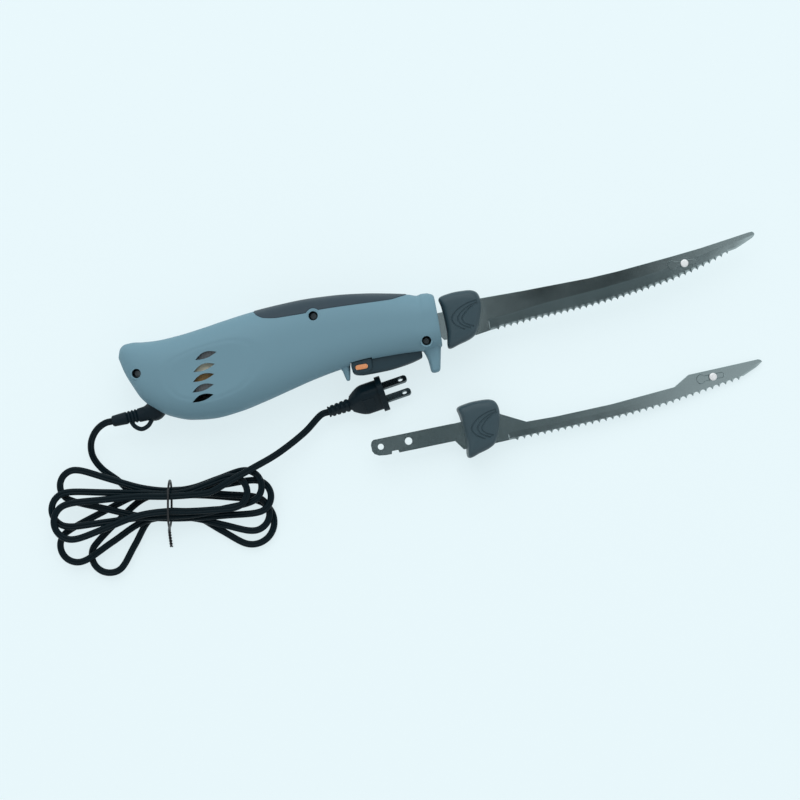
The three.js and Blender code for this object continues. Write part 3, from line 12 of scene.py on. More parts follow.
import bpy
import numpy as np
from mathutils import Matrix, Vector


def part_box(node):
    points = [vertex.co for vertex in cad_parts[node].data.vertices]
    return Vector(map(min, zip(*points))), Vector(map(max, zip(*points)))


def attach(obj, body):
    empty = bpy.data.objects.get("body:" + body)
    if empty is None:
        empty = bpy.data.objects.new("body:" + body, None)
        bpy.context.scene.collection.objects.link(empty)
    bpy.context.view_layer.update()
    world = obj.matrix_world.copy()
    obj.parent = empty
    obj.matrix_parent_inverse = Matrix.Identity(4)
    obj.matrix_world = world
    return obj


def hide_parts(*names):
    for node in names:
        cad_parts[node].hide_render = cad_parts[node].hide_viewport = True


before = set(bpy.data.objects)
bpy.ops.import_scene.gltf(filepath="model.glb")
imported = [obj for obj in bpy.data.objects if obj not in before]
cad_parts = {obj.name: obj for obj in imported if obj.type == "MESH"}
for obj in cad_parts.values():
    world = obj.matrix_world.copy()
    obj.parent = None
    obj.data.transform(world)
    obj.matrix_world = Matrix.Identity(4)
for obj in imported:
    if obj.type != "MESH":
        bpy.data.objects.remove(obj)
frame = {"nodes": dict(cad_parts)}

LOG = logging.getLogger("fillet_knife")
Array = np.ndarray
Colour = tuple[float, float, float]
MM = 0.001


class Place(Enum):
    """Frames that shapes are drawn in."""

    KNIFE = "knife"
    TABLE = "table"
    SPARE = "spare"
    PLUG = "plug"
    TIE = "tie"


class Side(Enum):
    """Halves of a paired piece, by the sign of Z."""

    LEFT = 1
    RIGHT = -1


def turn_z(angle: float) -> Array:
    """Matrix that turns about Z.

    Args:
        angle: Turn in radians.

    Returns:
        A 3 by 3 matrix.
    """
    c, s = math.cos(angle), math.sin(angle)
    return np.array([[c, -s, 0.0], [s, c, 0.0], [0.0, 0.0, 1.0]])


def turn_y(angle: float) -> Array:
    """Matrix that turns about Y.

    Args:
        angle: Turn in radians.

    Returns:
        A 3 by 3 matrix.
    """
    c, s = math.cos(angle), math.sin(angle)
    return np.array([[c, 0.0, s], [0.0, 1.0, 0.0], [-s, 0.0, c]])


def turn_x(angle: float) -> Array:
    """Matrix that turns about X.

    Args:
        angle: Turn in radians.

    Returns:
        A 3 by 3 matrix.
    """
    c, s = math.cos(angle), math.sin(angle)
    return np.array([[1.0, 0.0, 0.0], [0.0, c, -s], [0.0, s, c]])


@dataclass(frozen=True)
class Layout:
    """Where the drawing frames lie in the row frame, read off the CAD rivets.

    Attributes:
        fitted_rivet: Rivet of the fitted blades in the knife's frame.
        spare_rivet: Rivet of the spare blades in the spare set's frame.
        spare_turn: Turn of the spare set about Z, in radians.
        spare_tilt: Tilt of the spare set about its own Y, in radians.
        plug_face: Middle of the plug's face in the table's frame.
        plug_turn: Turn of the plug about Z, in radians.
        plug_roll: Roll of the plug about its axis, in radians.
        hank_centre: Middle of the hank in the table's frame.
        hank_turn: Turn of the hank about Z, in radians.
    """

    fitted_rivet: tuple[float, float, float] = (168.5, 10.0, 0.0)
    spare_rivet: tuple[float, float, float] = (177.0, 1.4, 0.0)
    spare_turn: float = math.radians(1.6)
    spare_tilt: float = math.atan(10.0 / 190.0)
    plug_face: tuple[float, float, float] = (-43.2, -40.2, 12.01)
    plug_turn: float = math.radians(9.0)
    plug_roll: float = math.radians(45.0)
    hank_centre: tuple[float, float, float] = (-198.3, -88.8, 0.0)
    hank_turn: float = math.radians(-10.0)

    @staticmethod
    def middle(node: str) -> Array:
        """Middle of a CAD node's box.

        Args:
            node: Name of the node.

        Returns:
            Point in millimetres in the row frame.
        """
        low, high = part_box(node)
        return (np.array(low) + np.array(high)) / (2.0 * MM)

    def turn(self, place: Place) -> Array:
        """Turn of a drawing frame.

        Args:
            place: The frame.

        Returns:
            A 3 by 3 matrix.
        """
        if place is Place.SPARE:
            return turn_z(self.spare_turn) @ turn_y(self.spare_tilt)
        if place is Place.PLUG:
            return turn_z(self.plug_turn) @ turn_x(self.plug_roll)
        if place is Place.TIE:
            return turn_z(self.hank_turn)
        return np.eye(3)

    def origin(self, place: Place) -> Array:
        """Origin of a drawing frame.

        Args:
            place: The frame.

        Returns:
            Point in millimetres in the row frame.
        """
        knife = self.middle("blade_rivet") - np.array(self.fitted_rivet)
        table = knife * np.array([1.0, 1.0, 0.0])
        if place is Place.KNIFE:
            return knife
        if place is Place.SPARE:
            return self.middle("spare_rivet") - self.turn(place) @ np.array(self.spare_rivet)
        if place is Place.PLUG:
            return table + np.array(self.plug_face)
        if place is Place.TIE:
            return table + np.array(self.hank_centre)
        return table

    def to_row(self, points: Array, place: Place) -> Array:
        """Points of a drawing frame in the row frame.

        Args:
            points: Points in millimetres, one per line.
            place: The frame they are drawn in.

        Returns:
            Points in metres.
        """
        return (points @ self.turn(place).T + self.origin(place)) * MM


LAYOUT = Layout()


# Numbers and curves


def monotone(xs: Array, ys: Array, at: Array) -> Array:
    """Curve through points that never overshoots them.

    Cubic pieces whose end slopes are the harmonic mean of the slopes on both sides, and zero at a turn.

    Args:
        xs: Rising places of the points.
        ys: Values at those places.
        at: Places to read the curve at.

    Returns:
        Values at those places.
    """
    step = np.diff(xs)
    rise = np.diff(ys) / step
    pair = rise[:-1] * rise[1:]
    total = rise[:-1] + rise[1:]
    inner = np.where(pair > 0.0, 2.0 * pair / np.where(total == 0.0, 1.0, total), 0.0)
    slope = np.concatenate([rise[:1], inner, rise[-1:]])
    k = np.clip(np.searchsorted(xs, at) - 1, 0, len(xs) - 2)
    t = np.clip((at - xs[k]) / step[k], 0.0, 1.0)
    low = (1.0 + 2.0 * t) * (1.0 - t) ** 2 * ys[k] + t * (1.0 - t) ** 2 * step[k] * slope[k]
    return low + t**2 * (3.0 - 2.0 * t) * ys[k + 1] + t**2 * (t - 1.0) * step[k] * slope[k + 1]


def smooth_step(at: Array, low: float, high: float) -> Array:
    """Soft ramp from 0 at low to 1 at high.

    Args:
        at: Places.
        low: Where the ramp starts.
        high: Where it ends.

    Returns:
        Values from 0 to 1.
    """
    t = np.clip((at - low) / (high - low), 0.0, 1.0)
    return t * t * (3.0 - 2.0 * t)


def spaced(points: Sequence[Sequence[float]], count: int, closed: bool = False, samples: int = 40) -> Array:
    """Evenly spaced points of a centripetal Catmull-Rom curve.

    Args:
        points: Points that the curve goes through.
        count: How many points to give back.
        closed: Whether the curve comes back to its start.
        samples: Fine samples for each piece of the curve.

    Returns:
        Points, one per line.
    """
    p = np.asarray(points, float)
    if closed:
        p = np.vstack([p[-1:], p, p[:2]])
    else:
        p = np.vstack([2.0 * p[0] - p[1], p, 2.0 * p[-1] - p[-2]])
    knots = np.concatenate([[0.0], np.cumsum(np.linalg.norm(np.diff(p, axis=0), axis=1) ** 0.5)])
    pieces = len(p) - 3
    share = np.linspace(0.0, 1.0, samples, endpoint=False)
    k = np.repeat(np.arange(pieces), samples)
    t0, t1, t2, t3 = (knots[k + i][:, None] for i in range(4))
    t = t1 + np.tile(share, pieces)[:, None] * (t2 - t1)
    a1 = (t1 - t) / (t1 - t0) * p[k] + (t - t0) / (t1 - t0) * p[k + 1]
    a2 = (t2 - t) / (t2 - t1) * p[k + 1] + (t - t1) / (t2 - t1) * p[k + 2]
    a3 = (t3 - t) / (t3 - t2) * p[k + 2] + (t - t2) / (t3 - t2) * p[k + 3]
    b1 = (t2 - t) / (t2 - t0) * a1 + (t - t0) / (t2 - t0) * a2
    b2 = (t3 - t) / (t3 - t1) * a2 + (t - t1) / (t3 - t1) * a3
    line = np.vstack([(t2 - t) / (t2 - t1) * b1 + (t - t1) / (t2 - t1) * b2, p[-2:-1]])
    run = np.concatenate([[0.0], np.cumsum(np.linalg.norm(np.diff(line, axis=0), axis=1))])
    want = np.linspace(0.0, run[-1], count, endpoint=not closed)
    return np.stack([np.interp(want, run, line[:, d]) for d in range(p.shape[1])], axis=1)


def super_ring(count: int, power: float) -> Array:
    """Closed superellipse of half size 1: |a|^power + |b|^power = 1.

    Args:
        count: Points round the ring.
        power: Roundness; 2 is a circle and larger is squarer.

    Returns:
        Points, two numbers per line.
    """
    angle = np.linspace(0.0, 2.0 * math.pi, count, endpoint=False)
    ring = np.stack([np.cos(angle), np.sin(angle)], axis=1)
    return np.sign(ring) * np.abs(ring) ** (2.0 / power)


# Shapes


@dataclass
class Shape:
    """Closed surface in millimetres.

    Attributes:
        points: Vertices, one per line.
        faces: Vertex numbers of each face.
    """

    points: Array
    faces: list[list[int]]

    def __add__(self, other: "Shape") -> "Shape":
        """Both shapes as one, each still closed.

        Args:
            other: The shape to add.

        Returns:
            The joined shape.
        """
        moved = [[i + len(self.points) for i in face] for face in other.faces]
        return Shape(np.vstack([self.points, other.points]), self.faces + moved)

    def moved(self, by: Sequence[float]) -> "Shape":
        """A copy moved by a step.

        Args:
            by: The step.

        Returns:
            The moved shape.
        """
        return Shape(self.points + np.asarray(by, float), self.faces)

    def turned(self, matrix: Array) -> "Shape":
        """A copy turned or mirrored by a matrix; a mirrored copy keeps its faces outwards.

        Args:
            matrix: A 3 by 3 matrix.

        Returns:
            The turned shape.
        """
        faces = self.faces if np.linalg.det(matrix) > 0.0 else [face[::-1] for face in self.faces]
        return Shape(self.points @ matrix.T, faces)

    def on(self, side: Side) -> "Shape":
        """The shape drawn at positive Z, taken to a side.

        Args:
            side: The side.

        Returns:
            The shape itself or its mirror image.
        """
        return self if side is Side.LEFT else self.turned(np.diag([1.0, 1.0, -1.0]))

    def outward(self) -> "Shape":
        """The shape with its faces turned outwards, by the sign of its volume.

        Returns:
            The shape itself or with every face reversed.
        """
        corner = np.array([[f[0], f[i], f[i + 1]] for f in self.faces for i in range(1, len(f) - 1)])
        a, b, c = (self.points[corner[:, i]] for i in range(3))
        volume = float(np.einsum("ij,ij->", a, np.cross(b, c)))
        return self if volume > 0.0 else Shape(self.points, [face[::-1] for face in self.faces])


def grid_faces(rows: int, columns: int, wrap: bool) -> Array:
    """Four-sided faces of a grid of vertices numbered row by row.

    Args:
        rows: Number of rows.
        columns: Number of columns.
        wrap: Whether the last column joins the first.

    Returns:
        Vertex numbers, four per line.
    """
    r, c = np.meshgrid(np.arange(rows - 1), np.arange(columns if wrap else columns - 1), indexing="ij")
    n = (c + 1) % columns
    faces = np.stack([r * columns + c, r * columns + n, (r + 1) * columns + n, (r + 1) * columns + c], axis=-1)
    return faces.reshape(-1, 4)


def loft(rings: Array) -> Shape:
    """Closed body through rings of points, its ends closed flat.

    Args:
        rings: Rings by points by three numbers.

    Returns:
        The body, faces outwards.
    """
    rows, columns, _ = rings.shape
    faces = grid_faces(rows, columns, True).tolist()
    faces.append(list(range(columns))[::-1])
    faces.append(list(range((rows - 1) * columns, rows * columns)))
    return Shape(rings.reshape(-1, 3), faces).outward()


def slab(outer: Array, inner: Array) -> Shape:
    """Closed body between two grids of the same size, walled round their borders.

    Args:
        outer: Rows by columns by three numbers.
        inner: The facing grid.

    Returns:
        The body, faces outwards.
    """
    rows, columns, _ = outer.shape
    quads = grid_faces(rows, columns, False)
    count = rows * columns
    number = np.arange(count).reshape(rows, columns)
    border = np.concatenate([number[0, :-1], number[:-1, -1], number[-1, :0:-1], number[:0:-1, 0]])
    after = np.roll(border, -1)
    walls = np.stack([border, border + count, after + count, after], axis=1)
    faces = np.vstack([quads, quads[:, ::-1] + count, walls]).tolist()
    return Shape(np.vstack([outer.reshape(-1, 3), inner.reshape(-1, 3)]), faces).outward()


def prism(outline: Array, low: float, high: float) -> Shape:
    """Straight body over an outline in X and Y.

    Args:
        outline: Points, two numbers per line.
        low: Lower Z.
        high: Upper Z.

    Returns:
        The body, faces outwards.
    """
    level = np.ones((len(outline), 1))
    return loft(np.stack([np.hstack([outline, level * low]), np.hstack([outline, level * high])]))


def tube(path: Array, section: Array, scale: Array | None = None, closed: bool = False) -> Shape:
    """Section carried along a path, its first coordinate level and its second upright.

    Args:
        path: Points of the centreline.
        section: Outline, two numbers per line.
        scale: Size of the section at each point.
        closed: Whether the path comes back to its start.

    Returns:
        The body, faces outwards.
    """
    ahead = np.roll(path, -1, axis=0) - np.roll(path, 1, axis=0)
    if not closed:
        ahead[0], ahead[-1] = path[1] - path[0], path[-1] - path[-2]
    ahead = ahead / np.linalg.norm(ahead, axis=1, keepdims=True)
    side = np.cross(np.array([0.0, 0.0, 1.0]), ahead)
    side = side / np.linalg.norm(side, axis=1, keepdims=True)
    rise = np.cross(ahead, side)
    size = np.ones(len(path)) if scale is None else scale
    flat = section[None] * size[:, None, None]
    rings = path[:, None] + flat[..., :1] * side[:, None] + flat[..., 1:] * rise[:, None]
    if not closed:
        return loft(rings)
    faces = grid_faces(len(path) + 1, len(section), True) % (len(path) * len(section))
    return Shape(rings.reshape(-1, 3), faces.tolist()).outward()


def domed(outline: Array, centre: Array, levels: Sequence[tuple[float, float]]) -> Shape:
    """Body of copies of an outline, drawn in to a centre by a share at each height.

    Args:
        outline: Points, two numbers per line.
        centre: Point that the copies are drawn in to.
        levels: Height and share of each copy.

    Returns:
        The body, faces outwards.
    """
    return loft(np.stack([
        np.hstack([centre + share * (outline - centre), np.full((len(outline), 1), height)])
        for height, share in levels]))


def post(rows: Array, ring: Array) -> Shape:
    """Post along Y with a section that changes along it.

    Args:
        rows: Y, front X, rear X and half width in Z, one section per line.
        ring: Section of half size 1, two numbers per line.

    Returns:
        The post, faces outwards.
    """
    y, front, rear, half = (rows[:, [k]] for k in range(4))
    return loft(np.stack([
        (front + rear) / 2.0 + (front - rear) / 2.0 * ring[None, :, 0],
        np.broadcast_to(y, (len(rows), len(ring))), half * ring[None, :, 1]], axis=-1))


def box(x: Sequence[float], y: Sequence[float], z: Sequence[float]) -> Shape:
    """Straight block for cutting.

    Args:
        x: Low and high X.
        y: Low and high Y.
        z: Low and high Z.

    Returns:
        The block.
    """
    return prism(np.array([[x[0], y[0]], [x[1], y[0]], [x[1], y[1]], [x[0], y[1]]]), z[0], z[1])


def round_bar(x: float, y: float, radius: float, low: float, high: float, sides: int = 48) -> Shape:
    """Round bar along Z.

    Args:
        x: Middle X.
        y: Middle Y.
        radius: Radius.
        low: Lower Z.
        high: Upper Z.
        sides: Sides of the bar.

    Returns:
        The bar.
    """
    return prism(super_ring(sides, 2.0) * radius + np.array([x, y]), low, high)


# Finishes


class Graph:
    """Node tree of one material or world, with short calls to fill it."""

    def __init__(self, tree: bpy.types.NodeTree) -> None:
        """Starts from an empty tree.

        Args:
            tree: The tree to fill.
        """
        self.tree = tree
        tree.nodes.clear()

    def add(self, kind: str, settings: dict[str, object] | None = None, **sockets: object) -> bpy.types.Node:
        """Adds a node.

        Args:
            kind: Node type.
            settings: Properties of the node.
            sockets: Values or source sockets by input name, with _ for a space.

        Returns:
            The node.
        """
        node = self.tree.nodes.new(kind)
        for key, value in (settings or {}).items():
            setattr(node, key, value)
        for key, value in sockets.items():
            target = node.inputs[key.replace("_", " ")]
            if isinstance(value, bpy.types.NodeSocket):
                self.tree.links.new(value, target)
            else:
                target.default_value = value
        return node

    def mix(self, low: object, high: object, share: bpy.types.NodeSocket) -> bpy.types.NodeSocket:
        """Colour between two colours.

        Args:
            low: Colour or socket at share 0.
            high: Colour or socket at share 1.
            share: Socket with the share.

        Returns:
            The mixed colour's socket.
        """
        node = self.tree.nodes.new("ShaderNodeMix")
        node.data_type = "RGBA"
        self.tree.links.new(share, node.inputs[0])
        for value, target in ((low, node.inputs[6]), (high, node.inputs[7])):
            if isinstance(value, bpy.types.NodeSocket):
                self.tree.links.new(value, target)
            else:
                target.default_value = (*value, 1.0)
        return node.outputs[2]


def srgb(red: int, green: int, blue: int) -> Colour:
    """Linear colour of a display colour.

    Args:
        red: Red from 0 to 255.
        green: Green from 0 to 255.
        blue: Blue from 0 to 255.

    Returns:
        Linear red, green and blue.
    """
    share = np.array([red, green, blue]) / 255.0
    linear = np.where(share <= 0.04045, share / 12.92, ((share + 0.055) / 1.055) ** 2.4)
    return tuple(float(v) for v in linear)


@dataclass(frozen=True)
class Finish:
    """Surface with a fine grain over broad, faint marks of handling.

    Attributes:
        name: Material name.
        colour: Linear base colour.
        roughness: Middle roughness.
        metallic: 1 for bare metal.
        grain: Fine grain, in cells to the metre.
        depth: Depth of the grain, in metres.
        fade: Share by which the colour varies.
        shine: How far the roughness varies.
        stretch: Size of the grain along X, Y and Z.
        gloss: Strength of the plain reflection, 0.5 for common plastics.
        marks: Broad marks of handling, in cells to the metre.
    """

    name: str
    colour: Colour
    roughness: float
    metallic: float = 0.0
    grain: float = 2200.0
    depth: float = 0.00003
    fade: float = 0.08
    shine: float = 0.06
    stretch: Colour = (1.0, 1.0, 1.0)
    gloss: float = 0.5
    marks: float = 38.0

    def height(self, graph: Graph, place: bpy.types.NodeSocket) -> bpy.types.NodeSocket:
        """Height pattern of the surface.

        Args:
            graph: Tree to add to.
            place: Socket with the scaled place.

        Returns:
            Socket with a value from 0 to 1.
        """
        return graph.add("ShaderNodeTexNoise", Vector=place, Scale=self.grain, Detail=3.0).outputs["Fac"]

    def material(self) -> bpy.types.Material:
        """The node material, made once.

        Returns:
            The material.
        """
        name = f"finish_{self.name}"
        known = bpy.data.materials.get(name)
        if known is not None:
            return known
        made = bpy.data.materials.new(name)
        made.use_nodes = True
        graph = Graph(made.node_tree)
        place = graph.add("ShaderNodeTexCoord").outputs["Object"]
        scaled = graph.add("ShaderNodeMapping", Vector=place, Scale=self.stretch).outputs["Vector"]
        height = self.height(graph, scaled)
        noise = graph.add("ShaderNodeTexNoise", Vector=place, Scale=self.marks, Detail=4.0, Roughness=0.6)
        broad = noise.outputs["Fac"]
        low = tuple(v * (1.0 - self.fade) for v in self.colour)
        high = tuple(min(1.0, v * (1.0 + self.fade)) for v in self.colour)
        worn = graph.mix(low, high, broad)
        fine = graph.mix(low, self.colour, height)
        colour = graph.mix(worn, fine, broad)
        rough = graph.add("ShaderNodeMapRange", Value=broad, From_Min=0.3, From_Max=0.7)
        rough.inputs["To Min"].default_value = max(0.04, self.roughness - self.shine)
        rough.inputs["To Max"].default_value = min(1.0, self.roughness + self.shine)
        bump = graph.add("ShaderNodeBump", Height=height, Distance=self.depth, Strength=0.6)
        shader = graph.add("ShaderNodeBsdfPrincipled", Base_Color=colour, Metallic=self.metallic,
                           Roughness=rough.outputs["Result"], Normal=bump.outputs["Normal"],
                           Specular_IOR_Level=self.gloss)
        graph.add("ShaderNodeOutputMaterial", Surface=shader.outputs["BSDF"])
        return made


@dataclass(frozen=True)
class Dimpled(Finish):
    """Soft moulded skin with small round dimples."""

    def height(self, graph: Graph, place: bpy.types.NodeSocket) -> bpy.types.NodeSocket:
        """Distance to the nearest of scattered points, so each cell is a dimple.

        Args:
            graph: Tree to add to.
            place: Socket with the scaled place.

        Returns:
            Socket with a value from 0 to 1.
        """
        return graph.add("ShaderNodeTexVoronoi", Vector=place, Scale=self.grain).outputs["Distance"]


@dataclass(frozen=True)
class Banded(Finish):
    """Surface in fine bands across one axis, such as wire turns or stacked sheets."""

    def height(self, graph: Graph, place: bpy.types.NodeSocket) -> bpy.types.NodeSocket:
        """Sine bands along X of the scaled place, slightly disturbed.

        Args:
            graph: Tree to add to.
            place: Socket with the scaled place.

        Returns:
            Socket with a value from 0 to 1.
        """
        wave = graph.add("ShaderNodeTexWave", Vector=place, Scale=self.grain, Distortion=0.6, Detail=1.0)
        return wave.outputs["Fac"]


SLATE = Finish("slate_plastic", srgb(109, 143, 157), 0.55, grain=3000.0, depth=0.00002, fade=0.05, gloss=0.2)
GRIP = Dimpled("soft_grip_skin", srgb(44, 60, 70), 0.52, grain=2600.0, depth=0.00004, fade=0.1, gloss=0.36)
TRIGGER_BLACK = Finish("trigger_plastic", srgb(38, 59, 68), 0.48, grain=2400.0, gloss=0.28)
CHARCOAL = Finish("charcoal_plastic", srgb(51, 71, 79), 0.4, grain=2600.0, fade=0.06, gloss=0.4)
ORANGE = Finish("orange_plastic", srgb(222, 148, 98), 0.38, grain=2400.0)
BLADE = Finish("blade_polish", srgb(170, 187, 189), 0.16, metallic=1.0, grain=900.0, depth=0.000003, fade=0.06,
               shine=0.03, stretch=(0.12, 3.0, 1.0))
# Rivet heads: steel colour, but half matt and near-white, so part of their brightness is a painted highlight in
# place of the lamp's reflection.
RIVET_STEEL_AND_HIGHLIGHT = Finish("rivet_steel_and_painted_highlight", srgb(238, 241, 242), 0.5, metallic=0.45, grain=1500.0, depth=0.00001, fade=0.04)
BRIGHT = Finish("bright_steel", srgb(214, 217, 218), 0.24, metallic=1.0, grain=1500.0, depth=0.00001, fade=0.06)
DARK_SCREW = Finish("blackened_steel", srgb(100, 108, 112), 0.34, metallic=1.0, grain=1800.0, depth=0.00002)
LAMINATED = Banded("laminated_steel", srgb(126, 130, 133), 0.42, metallic=1.0, grain=160.0, depth=0.0001,
                   fade=0.2)
FRAME_METAL = Finish("frame_metal", srgb(150, 153, 155), 0.45, metallic=1.0, grain=1200.0, depth=0.00004)
WOUND = Banded("copper_winding", srgb(190, 112, 62), 0.34, metallic=1.0, grain=520.0, depth=0.0002, fade=0.3,
               stretch=(0.25, 1.0, 1.0))
BARS = Banded("copper_bars", srgb(200, 128, 82), 0.3, metallic=1.0, grain=150.0, depth=0.0001, fade=0.25,
              stretch=(0.0, 1.0, 1.0))
BRONZE = Finish("bronze_bush", srgb(156, 122, 74), 0.5, metallic=1.0, grain=1600.0, depth=0.00005, fade=0.15)
BRASS = Finish("brass_sheet", srgb(205, 170, 92), 0.34, metallic=1.0, grain=900.0, depth=0.00002, fade=0.12)
NYLON = Finish("white_nylon", srgb(226, 221, 206), 0.5, grain=2000.0, fade=0.06)
CARBON = Finish("carbon_black", srgb(44, 45, 48), 0.7, grain=1800.0, depth=0.00006, fade=0.2)
VINYL = Finish("cord_vinyl", srgb(2, 21, 28), 0.32, grain=1500.0, depth=0.00002, fade=0.15, gloss=0.14)
PLUG_VINYL = Finish("plug_vinyl", srgb(6, 26, 34), 0.44, grain=2200.0, depth=0.00003, fade=0.15, gloss=0.18)
PAPER = Finish("coil_paper", srgb(222, 216, 194), 0.7, grain=1200.0, depth=0.00004, fade=0.12)
LACING = Banded("coil_lacing", srgb(158, 122, 68), 0.5, grain=260.0, depth=0.0002, fade=0.35)
TIE_COAT = Finish("tie_coat", srgb(22, 25, 28), 0.4, grain=2200.0, fade=0.12)
PIN_METAL = Finish("pin_metal", srgb(112, 122, 124), 0.28, metallic=1.0, grain=1400.0, depth=0.00001, fade=0.12)


# Pieces


def cut_away(piece: bpy.types.Object, tools: Sequence[Shape], place: Place) -> None:
    """Cuts shapes out of a piece, one after the other.

    Args:
        piece: Piece to cut.
        tools: Closed shapes to take away.
        place: Frame that the shapes are drawn in.
    """
    for tool in tools:
        knife = bpy.data.objects.new("cutter", mesh_of("cutter", tool, place))
        bpy.context.scene.collection.objects.link(knife)
        step = piece.modifiers.new("cut", "BOOLEAN")
        step.operation = "DIFFERENCE"
        step.solver = "EXACT"
        step.object = knife
        shown = piece.evaluated_get(bpy.context.evaluated_depsgraph_get())
        cut = bpy.data.meshes.new_from_object(shown)
        piece.modifiers.clear()
        before = piece.data
        piece.data = cut
        bpy.data.meshes.remove(before)
        spent = knife.data
        bpy.data.objects.remove(knife)
        bpy.data.meshes.remove(spent)


def mesh_of(name: str, shape: Shape, place: Place) -> bpy.types.Mesh:
    """Mesh of a shape in the row frame.

    Args:
        name: Mesh name.
        shape: The shape.
        place: Frame that it is drawn in.

    Returns:
        The mesh.
    """
    mesh = bpy.data.meshes.new(name)
    mesh.from_pydata(LAYOUT.to_row(shape.points, place).tolist(), [], shape.faces)
    mesh.update()
    return mesh


@dataclass(frozen=True)
class Mount:
    """How a piece belongs to the frame.

    Attributes:
        body: CAD body it rides on.
        slot: Material slot of the record. Not used.
        replaces: CAD nodes it stands for.
        place: Frame that it is drawn in.
    """

    body: str
    slot: str
    replaces: tuple[str, ...] = ()
    place: Place = Place.KNIFE


def add_piece(name: str, shape: Shape, finish: Finish, mount: Mount, tools: Sequence[Shape] = (),
              bevel: float = 0.0, sharp: float = 38.0) -> bpy.types.Object:
    """Makes a shape into a piece of the object.

    Args:
        name: Piece name.
        shape: Its closed shape.
        finish: Its surface.
        mount: How it belongs to the frame.
        tools: Shapes cut out of it.
        bevel: Width of its rounded edges in millimetres, or 0.
        sharp: Angle in degrees above which an edge stays sharp.

    Returns:
        The piece.
    """
    piece = bpy.data.objects.new(name, mesh_of(name, shape, mount.place))
    bpy.context.scene.collection.objects.link(piece)
    cut_away(piece, tools, mount.place)
    mesh = piece.data
    mesh.name = name
    mesh.materials.clear()
    mesh.materials.append(finish.material())
    mesh.polygons.foreach_set("use_smooth", np.ones(len(mesh.polygons), bool))
    mesh.set_sharp_from_angle(angle=math.radians(sharp))
    if bevel > 0.0:
        edge = piece.modifiers.new("rounded_edges", "BEVEL")
        edge.width = bevel * MM
        edge.segments = 2
        edge.limit_method = "ANGLE"
        edge.angle_limit = math.radians(sharp)
    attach(piece, mount.body)
    if mount.replaces:
        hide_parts(*mount.replaces)
    LOG.info("%s: %d faces", name, len(mesh.polygons))
    return piece


# Mains lead


